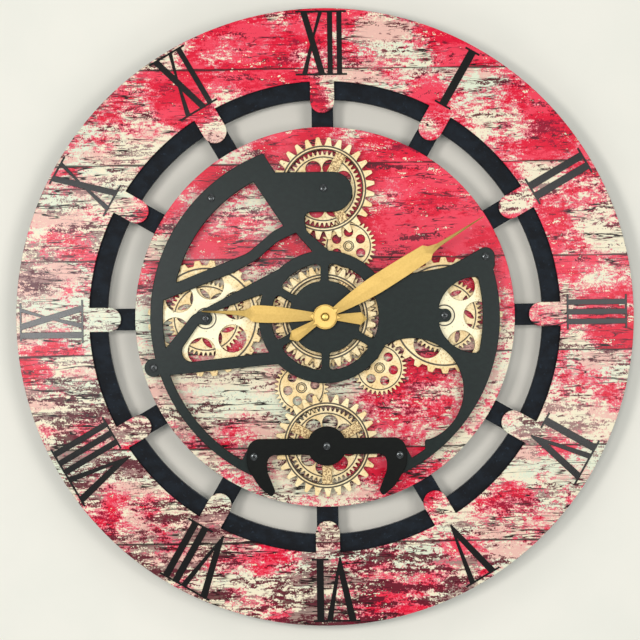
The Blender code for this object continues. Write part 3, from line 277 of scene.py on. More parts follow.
def turnedMesh(profile, centre, sides):
    # A profile of (radius, depth) from the front pole to the back pole, carried round the axis
    angle = np.linspace(0.0, 2.0 * math.pi, sides, endpoint=False)
    inner = profile[1:-1]
    ring = np.stack([centre[0] + inner[:, :1] * np.cos(angle), np.repeat(inner[:, 1:], sides, axis=1),
                     centre[1] + inner[:, :1] * np.sin(angle)], axis=2)
    poles = np.array([[centre[0], profile[0, 1], centre[1]], [centre[0], profile[-1, 1], centre[1]]])
    points = np.concatenate([ring.reshape(-1, 3), poles])
    k, i = np.meshgrid(np.arange(len(inner) - 1), np.arange(sides), indexing="ij")
    j = (i + 1) % sides
    quads = np.stack([k * sides + i, (k + 1) * sides + i, (k + 1) * sides + j, k * sides + j], axis=2)
    around = np.arange(sides)
    after = (around + 1) % sides
    last = (len(inner) - 1) * sides
    frontPole = np.full(sides, len(points) - 2)
    backPole = np.full(sides, len(points) - 1)
    fans = np.concatenate([np.stack([frontPole, around, after], axis=1),
                           np.stack([backPole, last + after, last + around], axis=1)])
    return points, quads.reshape(-1, 4), fans


def newObject(name, data):
    made = bpy.data.objects.new(name, data)
    scene.collection.objects.link(made)
    return made


def addPiece(name, points, faceSets, materials, node=None, body=None):
    # faceSets: (faces, material number, smooth) for each part of the surface
    mesh = bpy.data.meshes.new(name)
    mesh.from_pydata(points.tolist(), [], [face for faces, _, _ in faceSets for face in faces.tolist()])
    counts = [len(faces) for faces, _, _ in faceSets]
    mesh.polygons.foreach_set("material_index", np.repeat([number for _, number, _ in faceSets], counts))
    mesh.polygons.foreach_set("use_smooth", np.repeat([smooth for _, _, smooth in faceSets], counts))
    for material in materials:
        mesh.materials.append(material)
    mesh.update()
    piece = newObject(name, mesh)
    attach(piece, body or bodyOf[node])
    if node:
        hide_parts(node)
    return piece


def pieceName(node):
    first, *rest = node.split("_")
    return first + "".join(word.title() for word in rest)


def addSheet(node, face, wall, edge, fillet, sharp=50.0, outer=None):
    # A node's sheet with its own outlines, or with a finer outer one
    loops = outlines(node)
    if outer is not None:
        loops[0] = outer
    loops = [eased(loops[0], fillet, sharp)] + [eased(loop, fillet) for loop in loops[1:]]
    low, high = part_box(node)
    points, walls, rounds, front, back = sheetMesh(loops, low.y, high.y, edge)
    faceSets = [(walls[rounds], 0, True), (walls[~rounds], 1, True), (front, 0, False), (back, 1, False)]
    addPiece(pieceName(node), points, faceSets, [face, wall], node)


def addSoftened(node, material, width, hardAngle=35.0):
    # The node's own solid with its corners merged and its hard edges rounded by a bevel
    points, triangles = nodeMesh(node)
    piece = addPiece(pieceName(node), points, [(triangles, 0, True)], [material], node)
    bevel = piece.modifiers.new("edges", "BEVEL")
    bevel.width = width
    bevel.segments = 2
    bevel.limit_method = "ANGLE"
    bevel.angle_limit = math.radians(hardAngle)
    bevel.harden_normals = True


def middleOf(node):
    low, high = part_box(node)
    return (low.x + high.x) / 2.0, (low.z + high.z) / 2.0


# Material helpers

def paint(red, green, blue):
    # A colour as it is seen, 0 to 255, in the linear values that shaders take
    shares = [c / 255 for c in (red, green, blue)]
    return tuple(((s + 0.055) / 1.055) ** 2.4 if s > 0.04 else s / 12.92 for s in shares) + (1.0,)


def setInputs(made, inputs):
    for name, value in inputs.items():
        if isinstance(value, bpy.types.NodeSocket):
            made.id_data.links.new(value, made.inputs[name])
        else:
            made.inputs[name].default_value = value
    return made


def addNode(tree, kind, inputs=None, **settings):
    made = tree.nodes.new("ShaderNode" + kind)
    for name, value in settings.items():
        setattr(made, name, value)
    return setInputs(made, inputs or {})


# In the next ones the first value is a socket, and the new node goes into its tree

def calc(operation, a, b=0.0, clamp=False):
    return addNode(a.id_data, "Math", {0: a, 1: b}, operation=operation, use_clamp=clamp).outputs[0]


def plus(a, b):
    return calc("ADD", a, b)


def minus(a, b):
    return calc("SUBTRACT", a, b)


def times(a, b):
    return calc("MULTIPLY", a, b)


def scaled(vector, factors):
    made = addNode(vector.id_data, "VectorMath", {0: vector, 1: factors}, operation="MULTIPLY")
    return made.outputs[0]


def distance(vector):
    return addNode(vector.id_data, "VectorMath", {0: vector}, operation="LENGTH").outputs["Value"]


def mixed(share, a, b):
    return addNode(share.id_data, "Mix", {0: share, 6: a, 7: b}, data_type="RGBA").outputs[2]


def ramp(value, low, high, start=0.0, end=1.0):
    return addNode(value.id_data, "MapRange", {0: value, 1: low, 2: high, 3: start, 4: end},
                   interpolation_type="SMOOTHSTEP").outputs[0]


def noise(vector, scale, detail, roughness=0.5):
    return addNode(vector.id_data, "TexNoise", {"Vector": vector, "Scale": scale, "Detail": detail,
                                                "Roughness": roughness}).outputs[0]


def makeGroup(name, values, outputs):
    # A group with a place and named numbers going in, and numbers coming out
    tree = bpy.data.node_groups.new(name, "ShaderNodeTree")
    tree.interface.new_socket(name="Place", in_out="INPUT", socket_type="NodeSocketVector")
    for label, value in values.items():
        socket = tree.interface.new_socket(name=label, in_out="INPUT", socket_type="NodeSocketFloat")
        socket.default_value = value
    for label in outputs:
        tree.interface.new_socket(name=label, in_out="OUTPUT", socket_type="NodeSocketFloat")
    return tree, tree.nodes.new("NodeGroupInput").outputs, tree.nodes.new("NodeGroupOutput").inputs


def useGroup(group, place, **values):
    made = addNode(place.id_data, "Group", node_tree=group)
    return setInputs(made, {"Place": place, **values}).outputs


def newMaterial(name, roughness, metallic=0.0, coat=0.0, shine=0.5):
    material = bpy.data.materials.new(name)
    material.use_nodes = True
    shader = material.node_tree.nodes["Principled BSDF"]
    shader.inputs["Roughness"].default_value = roughness
    shader.inputs["Metallic"].default_value = metallic
    shader.inputs["Coat Weight"].default_value = coat
    shader.inputs["Specular IOR Level"].default_value = shine
    return material, shader, addNode(material.node_tree, "TexCoord").outputs["Object"]


def finish(shader, colour, roughness, height=None, relief=0.0, strength=0.3):
    links = shader.id_data.links
    links.new(colour, shader.inputs["Base Color"])
    links.new(roughness, shader.inputs["Roughness"])
    if height is not None:
        bump = addNode(shader.id_data, "Bump", {"Height": height, "Distance": relief, "Strength": strength})
        links.new(bump.outputs[0], shader.inputs["Normal"])


# Shared effects

def fromAxis(place):
    # Distance from the Y axis
    return distance(scaled(place, (1.0, 0.0, 1.0)))


def makeStreaks():
    # Noise drawn out along X, cut to a mask between two levels
    tree, given, result = makeGroup("streaks", {
        "Along": 20.0, "Across": 200.0, "Detail": 3.0, "Low": 0.5, "High": 0.6}, ("Mask", "Value"))
    factors = addNode(tree, "CombineXYZ", {0: given["Along"], 1: given["Across"], 2: given["Across"]})
    value = noise(scaled(given["Place"], factors.outputs[0]), 1.0, given["Detail"], 0.6)
    tree.links.new(ramp(value, given["Low"], given["High"]), result["Mask"])
    tree.links.new(value, result["Value"])
    return tree


def makeSpeckle():
    # Fine grains: where a small noise passes a level
    tree, given, result = makeGroup("speckle", {"Scale": 600.0, "Low": 0.6, "High": 0.66}, ("Mask", "Value"))
    value = noise(given["Place"], given["Scale"], 2.0, 0.65)
    tree.links.new(ramp(value, given["Low"], given["High"]), result["Mask"])
    tree.links.new(value, result["Value"])
    return tree


def makePrintedRing():
    # One where the distance from the Y axis is within about half a line's width of a radius
    tree, given, result = makeGroup("printedRing", {"Radius": 0.02, "Width": 0.0005}, ("Mask",))
    off = calc("ABSOLUTE", minus(fromAxis(given["Place"]), given["Radius"]))
    inside, outside = times(given["Width"], 0.35), times(given["Width"], 0.75)
    tree.links.new(ramp(off, inside, outside, 1.0, 0.0), result["Mask"])
    return tree


streaks = makeStreaks()
speckle = makeSpeckle()
printedRing = makePrintedRing()

# Materials

board = {
    "seamEvery": 93.5 * mm, "seamFrom": 58 * mm, "seamWidth": 1.3 * mm, "seamWave": 4.0 * mm,
    "cream": paint(247, 231, 199), "pale": paint(228, 230, 203), "blush": paint(241, 182, 168),
    "pink": paint(236, 112, 126), "coral": paint(243, 66, 88), "red": paint(228, 20, 54),
    "wine": paint(158, 10, 46), "mauve": paint(146, 104, 101), "maroon": paint(88, 18, 34),
    "black": paint(28, 15, 14),
    # Noise of each layer: its scale along the planks and across them, its detail, and how ragged it is
    "grain": {"pale": (7.0, 15.0, 4.0, 1.0), "blush": (14.0, 40.0, 5.0, 1.0), "mauve": (13.0, 75.0, 6.0, 1.0),
              "red": (14.0, 22.0, 7.0, 0.65), "shade": (12.0, 34.0, 6.0, 0.5),
              "maroon": (18.0, 95.0, 7.0, 1.0), "flake": (50.0, 100.0, 5.0, 1.2)},
    # The levels of its noise where a layer sets in and where it is full, and how much it then covers
    "cover": {"pale": (0.44, 0.56, 1.0), "blush": (0.48, 0.56, 0.9), "mauve": (0.575, 0.62, 0.85),
              "pink": (0.48, 0.525, 1.0), "coral": (0.535, 0.58, 1.0), "red": (0.44, 0.52, 1.0),
              "wine": (0.585, 0.64, 1.0), "maroon": (0.62, 0.65, 0.92), "flake": (0.69, 0.72, 1.0)},
    # Hairline cracks: colour, scales along and across, the same for the places where they open, and how much
    # the red coat keeps them shut
    "cracks": [("black", 9.0, 95.0, 14.0, 26.0, 1.2), ("maroon", 16.0, 150.0, 20.0, 30.0, 0.0)],
    "crackWidth": (0.006, 0.02), "crackPlaces": (0.49, 0.56), "crackRagged": 0.05,
    # Fine crumbling that frays every edge: the grain's scale and share, and the same for the streaks
    "crumble": (640.0, 0.40, (130.0, 330.0, 3.0), 0.55),
    # How far the planks' grains are shifted against each other, and how much their coats differ
    "plankShift": 7.3, "plankCoat": 0.03,
    "seamRagged": 2.4 * mm, "seamCover": 0.9, "waveScale": 16.0,
    "roughness": (0.29, 0.21), "relief": 0.06 * mm,
    # Where the red coat stayed best and where it wore off, and at the middle painted shade: x, z and reach in
    # mm, and strength
    "coat": [(95, 105, 125, 0.22), (-60, 250, 115, 0.075), (-20, 165, 80, 0.07), (235, 175, 90, 0.09),
             (-235, 165, 100, -0.04), (-150, 215, 70, 0.05), (70, 285, 80, -0.02), (-245, 0, 170, -0.09),
             (-60, -95, 120, -0.08), (90, -95, 90, 0.06), (240, -170, 90, -0.04), (110, -245, 80, -0.01),
             # The last patch here, at the middle, is painted shade: more red coat where the gears and bridge
             # shade the board
             (-130, -250, 100, -0.045), (10, -275, 80, -0.08), (-260, 70, 70, -0.05), (0, 0, 70, 0.10)],
    # The same for the dark stains
    "stain": [(-225, -120, 110, 0.13), (20, -300, 180, 0.13), (-170, -240, 110, 0.12),
              (-290, 50, 120, 0.06), (-110, -120, 80, 0.05), (270, 190, 70, 0.06), (130, -270, 80, 0.08)],
}


def patchSum(x, z, patches):
    # Soft hills: strength times the smooth fall from 1 at a centre to 0 at its reach
    total = 0.0
    for atX, atZ, reach, strength in patches:
        away = addNode(x.id_data, "CombineXYZ", {0: minus(x, atX * mm), 1: minus(z, atZ * mm)})
        total = plus(ramp(distance(away.outputs[0]), 0.0, reach * mm, strength, 0.0), total)
    return total


def printedBoard():
    # Worn red paint over pale boards: coats are masks of noise whose levels shift by plank and place
    material, shader, place = newMaterial("printedBoard", 0.25, shine=0.11)
    tree = material.node_tree
    axes = addNode(tree, "SeparateXYZ", {0: place})
    x, z = axes.outputs["X"], axes.outputs["Z"]
    rows = calc("DIVIDE", minus(z, board["seamFrom"]), board["seamEvery"])
    plank = calc("FLOOR", rows)
    toss = addNode(tree, "TexWhiteNoise", {"W": plank}, noise_dimensions="1D").outputs["Value"]
    shifted = plus(x, times(toss, board["plankShift"]))
    grainPlace = addNode(tree, "CombineXYZ", {0: shifted, 1: toss, 2: z}).outputs[0]

    def drawn(along, across, detail):
        return useGroup(streaks, grainPlace, Along=along, Across=across, Detail=detail)["Value"]

    fineScale, fineShare, broken, brokenShare = board["crumble"]
    fine = useGroup(speckle, grainPlace, Scale=fineScale)["Value"]
    crumble = plus(times(minus(fine, 0.5), fineShare),
                   times(minus(drawn(*broken), 0.5), brokenShare))

    def level(layer, shift=0.0):
        *scales, ragged = board["grain"][layer]
        return plus(plus(drawn(*scales), times(crumble, ragged)), shift)

    def covered(under, coat, layer, above=None):
        low, high, most = board["cover"][layer]
        above = board[layer] if above is None else above
        return mixed(ramp(coat, low, high, 0.0, most), under, above)

    # Wear of the red coat, with the painted shade at the middle from the last coat patch
    keptAndShade = plus(patchSum(x, z, board["coat"]), times(toss, board["plankCoat"]))
    stained = patchSum(x, z, board["stain"])
    redCoatAndShade = level("red", keptAndShade)
    shade = level("shade")
    red = covered(covered(board["coral"], shade, "red"), shade, "wine")
    colour = covered(board["cream"], level("pale"), "pale")
    colour = covered(colour, level("blush"), "blush")
    colour = covered(colour, level("mauve", stained), "mauve")
    colour = covered(colour, redCoatAndShade, "pink")
    colour = covered(colour, redCoatAndShade, "coral", red)
    colour = covered(colour, level("maroon", stained), "maroon")
    colour = covered(colour, level("flake"), "flake", board["cream"])
    # A crack runs where a drawn noise crosses its middle, and opens where a broader one allows it
    for inside, along, across, openAlong, openAcross, shut in board["cracks"]:
        off = calc("ABSOLUTE", minus(drawn(along, across, 3.0), 0.5))
        off = plus(off, times(crumble, board["crackRagged"]))
        opened = minus(drawn(openAlong, openAcross, 2.0), times(keptAndShade, shut))
        crack = times(ramp(off, *board["crackWidth"], 1.0, 0.0),
                      ramp(opened, *board["crackPlaces"]))
        colour = mixed(crack, colour, board[inside])
    wave = times(minus(noise(grainPlace, board["waveScale"], 3.0), 0.5), board["seamWave"])
    seam = calc("ABSOLUTE", minus(calc("FRACT", plus(rows, 0.5)), 0.5))
    offSeam = calc("ABSOLUTE", plus(times(seam, board["seamEvery"]), wave))
    seamMask = ramp(plus(offSeam, times(crumble, board["seamRagged"])),
                    0.3 * board["seamWidth"], board["seamWidth"], board["seamCover"], 0.0)
    colour = mixed(seamMask, colour, board["black"])
    finish(shader, colour, ramp(crumble, -0.15, 0.15, *board["roughness"]), crumble, board["relief"])
    return material


# Grains and spots of the painted sheets, and how much the spots cover
painted = {
    "streaks": {"Low": 0.36, "High": 0.68}, "dots": {"Scale": 700.0, "Low": 0.56, "High": 0.72},
    "spots": {"Scale": 260.0, "Low": 0.64, "High": 0.7}, "spotCover": 0.6,
}


def grainedPaint(name, dark, light, roughness, roughnessHigh, along=60.0, across=420.0, specks=None,
                 bump=0.1 * mm, shine=0.2):
    # A painted sheet: two tones by streaks and specks, with a matching relief
    material, shader, place = newMaterial(name, roughness, shine=shine)
    line = useGroup(streaks, place, Along=along, Across=across, **painted["streaks"])
    dots = useGroup(speckle, place, **painted["dots"])
    colour = mixed(calc("MULTIPLY", plus(line["Mask"], dots["Mask"]), 0.5, True), dark, light)
    if specks:
        spots = useGroup(speckle, place, **painted["spots"])["Mask"]
        colour = mixed(times(spots, painted["spotCover"]), colour, specks)
    finish(shader, colour, ramp(dots["Value"], 0.3, 0.7, roughness, roughnessHigh),
           plus(line["Value"], dots["Value"]), bump, 0.4)
    return material


gilt = {
    # The whitest tone is painted glare: the washed-out middle of the side wheels
    "cream": paint(236, 203, 144), "light": paint(247, 225, 177), "white": paint(249, 235, 197),
    "gold": paint(198, 154, 90), "brown": paint(132, 92, 46), "line": paint(22, 13, 6),
    "speck": paint(96, 66, 32),
    "blotches": 45.0, "grain": {"Scale": 520.0, "Low": 0.52, "High": 0.64},
    "spots": {"Scale": 330.0, "Low": 0.67, "High": 0.71},
    # How much each of these covers
    "goldCover": 0.4, "brownCover": 0.85, "spotCover": 0.7, "lineCover": 0.95,
    # The painted glare's edge frays this far; there the gold goes from little to much
    "fray": 60 * mm, "frayBand": (-3 * mm, 5 * mm), "frayGold": (0.06, 0.6), "granularBand": 0.2 * mm,
    "roughness": (0.36, 0.52), "relief": 0.1 * mm,
}


def gearPaint(name, centre, lines, granular=0.0, glareRadius=0.0):
    # Antique gilt print: blotchy cream gold with dark rings at the given radii. Inside the granular radius it
    # is brown grain; outside the glare radius it is browner, and inside it nearly white, a painted glare.
    material, shader, place = newMaterial(name, 0.42, 0.1, shine=0.3)
    own = addNode(material.node_tree, "Mapping", {"Vector": place, "Location": (-centre[0], 0.0, -centre[1])})
    own = own.outputs[0]
    radius = fromAxis(own)
    blotch = noise(own, gilt["blotches"], 5.0, 0.6)
    grain = useGroup(speckle, own, **gilt["grain"])
    colour = mixed(ramp(blotch, 0.38, 0.62), gilt["cream"], gilt["light"])
    goldCover = gilt["goldCover"]
    # Painted glare: inside the radius the gilt goes nearly white, fraying into gold outwards
    if glareRadius:
        frayed = plus(radius, times(minus(blotch, 0.5), gilt["fray"]))
        band = [glareRadius + off for off in gilt["frayBand"]]
        colour = mixed(ramp(frayed, *band), gilt["white"], colour)
        goldCover = ramp(frayed, *band, *gilt["frayGold"])
    colour = mixed(times(grain["Mask"], goldCover), colour, gilt["gold"])
    if granular:
        soft = gilt["granularBand"]
        near = ramp(radius, granular - soft, granular + soft, 1.0, 0.0)
        grains = mixed(ramp(grain["Value"], 0.44, 0.56), gilt["cream"], gilt["brown"])
        colour = mixed(times(near, gilt["brownCover"]), colour, grains)
    spots = useGroup(speckle, own, **gilt["spots"])["Mask"]
    colour = mixed(times(spots, gilt["spotCover"]), colour, gilt["speck"])
    for ringRadius, width in lines:
        ring = useGroup(printedRing, own, Radius=ringRadius, Width=width)["Mask"]
        colour = mixed(times(ring, gilt["lineCover"]), colour, gilt["line"])
    finish(shader, colour, ramp(grain["Value"], 0.35, 0.7, *gilt["roughness"]), grain["Value"],
           gilt["relief"], 0.4)
    return material


def metal(name, colour, shade, roughness, scale=300.0, metallic=1.0, shine=0.5):
    # Plain metal with a fine finish: tone and gloss vary over small grains and larger smudges
    material, shader, place = newMaterial(name, roughness, metallic, shine=shine)
    grain = useGroup(speckle, place, Scale=scale, Low=0.35, High=0.7)
    finish(shader, mixed(times(grain["Mask"], 0.7), colour, shade),
           ramp(noise(place, 60.0, 3.0), 0.3, 0.7, roughness, roughness + 0.12), grain["Value"], 0.03 * mm)
    return material


def cellWrapper():
    # A plain dark green sleeve
    material, shader, place = newMaterial("cellWrapper", 0.3, 0.1, 0.3)
    grain = useGroup(speckle, place, Scale=400.0, Low=0.4, High=0.7)
    finish(shader, mixed(grain["Mask"], paint(34, 74, 44), paint(44, 88, 54)),
           ramp(grain["Value"], 0.3, 0.7, 0.26, 0.36))
    return material


printedFace = printedBoard()
# Dark and light tone, roughness from and to, scale of the streaks along and across, and the specks' colour
boardEdge = grainedPaint("boardEdge", paint(38, 14, 17), paint(80, 24, 30), 0.6, 0.75, 40.0, 900.0,
                         paint(20, 12, 10))
backBoard = grainedPaint("backBoard", paint(10, 13, 18), paint(30, 38, 47), 0.5, 0.62, 70.0, 90.0,
                         paint(42, 52, 64), shine=0.1)
darkPlate = grainedPaint("darkPlate", paint(10, 22, 19), paint(20, 34, 30), 0.28, 0.34, 160.0, 260.0,
                         paint(9, 18, 16), shine=0.12)
darkEdge = grainedPaint("darkEdge", paint(15, 21, 20), paint(28, 36, 34), 0.45, 0.6)
blackPlate = grainedPaint("blackPlate", paint(6, 8, 6), paint(13, 16, 12), 0.3, 0.36, 160.0, 260.0,
                          paint(5, 7, 5), shine=0.07)
giltEdge = grainedPaint("giltEdge", paint(50, 31, 14), paint(98, 68, 34), 0.5, 0.62, 300.0, 900.0,
                        paint(34, 22, 12))
numeralBlack = grainedPaint("numeralBlack", paint(6, 5, 4), paint(14, 12, 9), 0.16, 0.2, 200.0, 400.0,
                            bump=0.006 * mm, shine=0.17)
blackPlastic = grainedPaint("blackPlastic", paint(18, 18, 19), paint(30, 30, 31), 0.42, 0.55, 500.0, 500.0)
handGold = metal("handGold", paint(196, 163, 93), paint(185, 152, 83), 0.4, 500.0, 0.6, 0.2)
brass = metal("brass", paint(172, 150, 84), paint(144, 124, 66), 0.28)
steel = metal("steel", paint(168, 170, 172), paint(138, 140, 143), 0.3)
darkSteel = metal("darkSteel", paint(62, 64, 64), paint(52, 54, 55), 0.12)
wrapper = cellWrapper()
print("materials made")


# Camera, wall and lights

view = {"place": (-5 * mm, -2.0, -3 * mm), "tilt": 0.76, "lens": 111.8, "sensor": 36.0}
wall = {"width": 1.7, "behind": 0.6 * mm, "colour": paint(249, 241, 228), "smudge": paint(246, 239, 226),
        "smudges": 14.0, "roughness": 0.9, "shine": 0.1}
lamps = {
    "left": {"power": 7.6, "size": (0.3, 0.3), "place": (-0.52, -1.6, 0.05)},
    "right": {"power": 6.2, "size": (0.5, 0.5), "place": (0.52, -1.6, 0.0)},
    "top": {"power": 2.0, "size": (0.8, 0.4), "place": (0.0, -1.2, 1.25)},
    "bottom": {"power": 2.5, "size": (0.8, 0.4), "place": (0.0, -1.2, -1.25)},
    "front": {"power": 4.8, "size": (0.2, 0.2), "place": (-0.145, -2.2, 0.19)},
    "rear": {"power": 18.0, "size": (1.5, 1.5), "place": (0.3, 1.6, 0.8)},
}
sky = {"light": 0.4, "tint": (0.82, 0.97, 1.02, 1.0)}


def addCamera():
    data = bpy.data.cameras.new("camera")
    data.lens = view["lens"]
    data.sensor_width = view["sensor"]
    camera = newObject("camera", data)
    camera.location = view["place"]
    camera.rotation_euler = (math.radians(90.0), math.radians(view["tilt"]), 0.0)
    scene.camera = camera


def addLamp(name, power, size, place):
    data = bpy.data.lights.new(name, "AREA")
    data.shape = "RECTANGLE"
    data.energy = power
    data.size, data.size_y = size
    lamp = newObject(name, data)
    lamp.location = place
    lamp.rotation_euler = (Vector((0.0, 0.0, 0.0)) - Vector(place)).to_track_quat("-Z", "Y").to_euler()


def addWall():
    # Solid from the front; from behind, and for light on its way past, it isn't there
    half, behind = wall["width"] / 2.0, wall["behind"]
    mesh = bpy.data.meshes.new("wall")
    corners = [(-half, behind, -half), (half, behind, -half), (half, behind, half), (-half, behind, half)]
    mesh.from_pydata(corners, [], [(0, 1, 2, 3)])
    material, shader, place = newMaterial("wallPaint", wall["roughness"], shine=wall["shine"])
    tree = material.node_tree
    soft = noise(place, wall["smudges"], 3.0)
    tree.links.new(mixed(ramp(soft, 0.3, 0.7), wall["colour"], wall["smudge"]),
                   shader.inputs["Base Color"])
    rays = addNode(tree, "LightPath").outputs
    fromBehind = addNode(tree, "NewGeometry").outputs["Backfacing"]
    passing = calc("MAXIMUM", rays["Is Shadow Ray"], rays["Is Diffuse Ray"])
    gone = calc("MAXIMUM", fromBehind, passing)
    clear = addNode(tree, "BsdfTransparent").outputs[0]
    both = addNode(tree, "MixShader", {0: gone, 1: shader.outputs[0], 2: clear})
    tree.links.new(both.outputs[0], tree.nodes["Material Output"].inputs["Surface"])
    mesh.materials.append(material)
    backdrop = newObject("wall", mesh)


def addSky():
    # White to the eye and in reflections, softer and a little cooler as light
    world = bpy.data.worlds.new("sky")
    scene.world = world
    world.use_nodes = True
    tree = world.node_tree
    rays = addNode(tree, "LightPath").outputs
    seen = calc("MAXIMUM", calc("MAXIMUM", rays["Is Camera Ray"], rays["Is Glossy Ray"]),
                rays["Is Transmission Ray"])
    background = tree.nodes["Background"].inputs
    tree.links.new(ramp(seen, 0.0, 1.0, sky["light"], 1.0), background["Strength"])
    tree.links.new(mixed(seen, sky["tint"], (1.0, 1.0, 1.0, 1.0)), background["Color"])


def addStage():
    addCamera()
    addWall()
    addSky()
    for name, lamp in lamps.items():
        addLamp(name, lamp["power"], lamp["size"], lamp["place"])
    scene.view_settings.view_transform = "Standard"


addStage()
print("camera, wall and lamps placed")


# Boards and plates

boards = {
    "edge": 0.6 * mm, "fillet": 0.8 * mm,
    "looks": {"dial_ring": (printedFace, boardEdge), "inner_disc": (printedFace, boardEdge),
              "back_plate": (backBoard, backBoard), "bridge_plate": (darkPlate, darkEdge),
              "lower_bridge": (blackPlate, darkEdge)},
}


def addBoards():
    for node, (face, side) in boards["looks"].items():
        addSheet(node, face, side, boards["edge"], boards["fillet"])


addBoards()
print("boards and plates made")


# Gears

# Widths of a tooth at its root and tip, the rounds on its corners and edges, and the turn that is a corner
fineTooth = {"rootWidth": 3.0 * mm, "tipWidth": 1.15 * mm, "edge": 0.35 * mm, "fillet": 0.45 * mm,
             "sharp": 50.0}
ringTooth = {"rootWidth": 7.3 * mm, "tipWidth": 3.3 * mm, "edge": 0.5 * mm, "fillet": 1.4 * mm, "sharp": 24.0}
wheelTooth = {"edge": 0.5 * mm, "fillet": 0.8 * mm, "sharp": 24.0}
granularInside = 38.4 * mm
# Inside this radius the side wheels' gilt is painted glare, nearly white
glareWhiteInside = 38.0 * mm
fineGears = {
    "centre_gear_fine": 64, "top_gear_fine": 48, "bottom_gear_fine": 48, "left_gear_fine": 48,
    "right_gear_fine": 48, "idler_gear_upper": 34, "idler_gear_lower": 34, "drive_gear": 34,
    "transfer_pinion_left": 24, "transfer_pinion_right": 24,
}
ringGears = {"centre_gear_ring": 28, "top_gear_ring": 28, "bottom_gear_ring": 28}
wheels = ("left_gear_wheel", "right_gear_wheel")
# Printed rings on the gears: radius and width in millimetres
ringsOn = {
    "idler_gear_upper": [(21.4, 1.1), (4.9, 0.9)], "idler_gear_lower": [(21.4, 1.1), (4.9, 0.9)],
    "drive_gear": [(21.4, 1.1), (4.9, 0.9)],
    "top_gear_fine": [(31.3, 1.2)], "bottom_gear_fine": [(31.3, 1.2)], "left_gear_fine": [(31.3, 1.2)],
    "right_gear_fine": [(31.3, 1.2)],
    "centre_gear_ring": [(41.4, 1.5), (38.8, 1.2)], "top_gear_ring": [(41.4, 1.5), (38.8, 1.2)],
    "bottom_gear_ring": [(41.4, 1.5), (38.8, 1.2)],
    "left_gear_wheel": [(49.0, 1.6), (10.0, 1.2)], "right_gear_wheel": [(49.0, 1.6), (10.0, 1.2)],
}


def addGear(node, tooth, teeth=0, granular=0.0, glareRadius=0.0):
    # With a number of teeth, the pointed ones of the outline become trapezoids with its root and tip radii
    loop = outlines(node)[0]
    centre = loop.mean(axis=0)
    reach = np.linalg.norm(loop - centre, axis=1)
    away = loop[reach.argmax()] - centre
    outer = toothed(teeth, reach.min(), reach.max(), tooth["rootWidth"], tooth["tipWidth"], centre,
                    math.atan2(away[1], away[0])) if teeth else None
    lines = [(radius * mm, width * mm) for radius, width in ringsOn.get(node, [])]
    face = gearPaint(pieceName(node) + "Paint", centre, lines, granular, glareRadius)
    addSheet(node, face, giltEdge, tooth["edge"], tooth["fillet"], tooth["sharp"], outer)


def addGears():
    for node, teeth in fineGears.items():
        addGear(node, fineTooth, teeth)
    for node, teeth in ringGears.items():
        addGear(node, ringTooth, teeth, granular=granularInside)
    for node in wheels:
        addGear(node, wheelTooth, glareRadius=glareWhiteInside)


addGears()
print("gears made")


# Numerals

numeral = {
    "foot": 238.6 * mm, "head": 302.5 * mm, "raised": 0.8 * mm, "bar": 1.9 * mm, "footBarReach": 4.9 * mm,
    "gaps": {"II": 4.1, "IV": 2.5, "IX": 2.0, "VI": 2.5, "XI": 2.0},
    # By hour, in mm: how far a numeral stands along its own line from its hour's spoke, how much shorter it
    # is, how far its head bar reaches past the strokes, and how thick its I is
    "nudge": (-1.0, -1.8, -1.8, -1.0, -2.7, -8.0, -9.3, -6.7, -1.4, -3.1, -2.5, -0.4),
    "shorter": (1.7, 2.0, 4.3, 5.8, 1.3, 1.4, 1.7, 2.2, 1.1, 0.1, -0.2, 0.0),
    "barReach": (4.0, 4.4, 4.6, 5.0, 4.2, 3.6, 3.0, 3.6, 2.6, 2.8, 4.0, 4.6),
    "stroke": (7.8, 7.4, 5.5, 7.4, 6.0, 6.9, 6.8, 6.0, 6.2, 6.0, 5.3, 5.1),
    # How far the tip of a V stands above the foot line, in shares of the height, and the wide letters' widths
    "tip": {"IV": -0.07, "V": 0.015, "VI": -0.02, "VII": -0.02, "VIII": -0.02},
    "width": {"X": 24.7, "V": 29.7},
    # Rounds on the outline's corners, on the front and on the back edge, the turn that is a corner, and the
    # gap that keeps the numerals off the ring
    "fillet": 0.3 * mm, "sharp": 10.0, "edge": 0.25 * mm, "backEdge": 0.05 * mm, "gap": 0.02 * mm,
}


def letterShapes(letter, letters, thick):
    # Polygons in mm across and shares of the height up, and the letter's width
    if letter == "I":
        return [[(0, 0), (thick, 0), (thick, 1), (0, 1)]], thick
    wide = numeral["width"][letter]
    if letter == "X":
        return [[(18.4, 0), (wide, 0), (6.3, 1), (0, 1)],
                [(1.1, 0), (6.3, 0), (13.4, 0.56), (22.4, 1), (18.4, 1), (11.2, 0.56)]], wide
    tip = numeral["tip"][letters]
    shape = [(15.2, tip), (16.7, tip), (wide, 1), (23.9, 1), (17.2, 0.249), (7.0, 1), (0, 1)]
    # The four has its V the other way round, thin stroke first
    return [[(wide - u, v) for u, v in reversed(shape)] if letters == "IV" else shape], wide


def strokesOf(letters, hour):
    # Polygons in (across, up) from the numeral's left edge and foot line, and its whole width
    tall = numeral["head"] - numeral["foot"] - numeral["shorter"][hour] * mm
    bar, reach, footReach = numeral["bar"], numeral["barReach"][hour] * mm, numeral["footBarReach"]
    strokes, footed, at = [], [], 0.0
    for number, letter in enumerate(letters):
        shapes, width = letterShapes(letter, letters, numeral["stroke"][hour])
        strokes += [[(at + u * mm, v * tall) for u, v in shape] for shape in shapes]
        if letter != "V":
            footed += [at, at + width * mm]
        at += (width + numeral["gaps"].get(letters[number:number + 2], 0.0)) * mm
    strokes.append([(-reach, tall - bar), (at + reach, tall - bar), (at + reach, tall), (-reach, tall)])
    if footed:
        low, high = min(footed) - footReach, max(footed) + footReach
        strokes.append([(low, 0.0), (high, 0.0), (high, bar), (low, bar)])
    return strokes, at


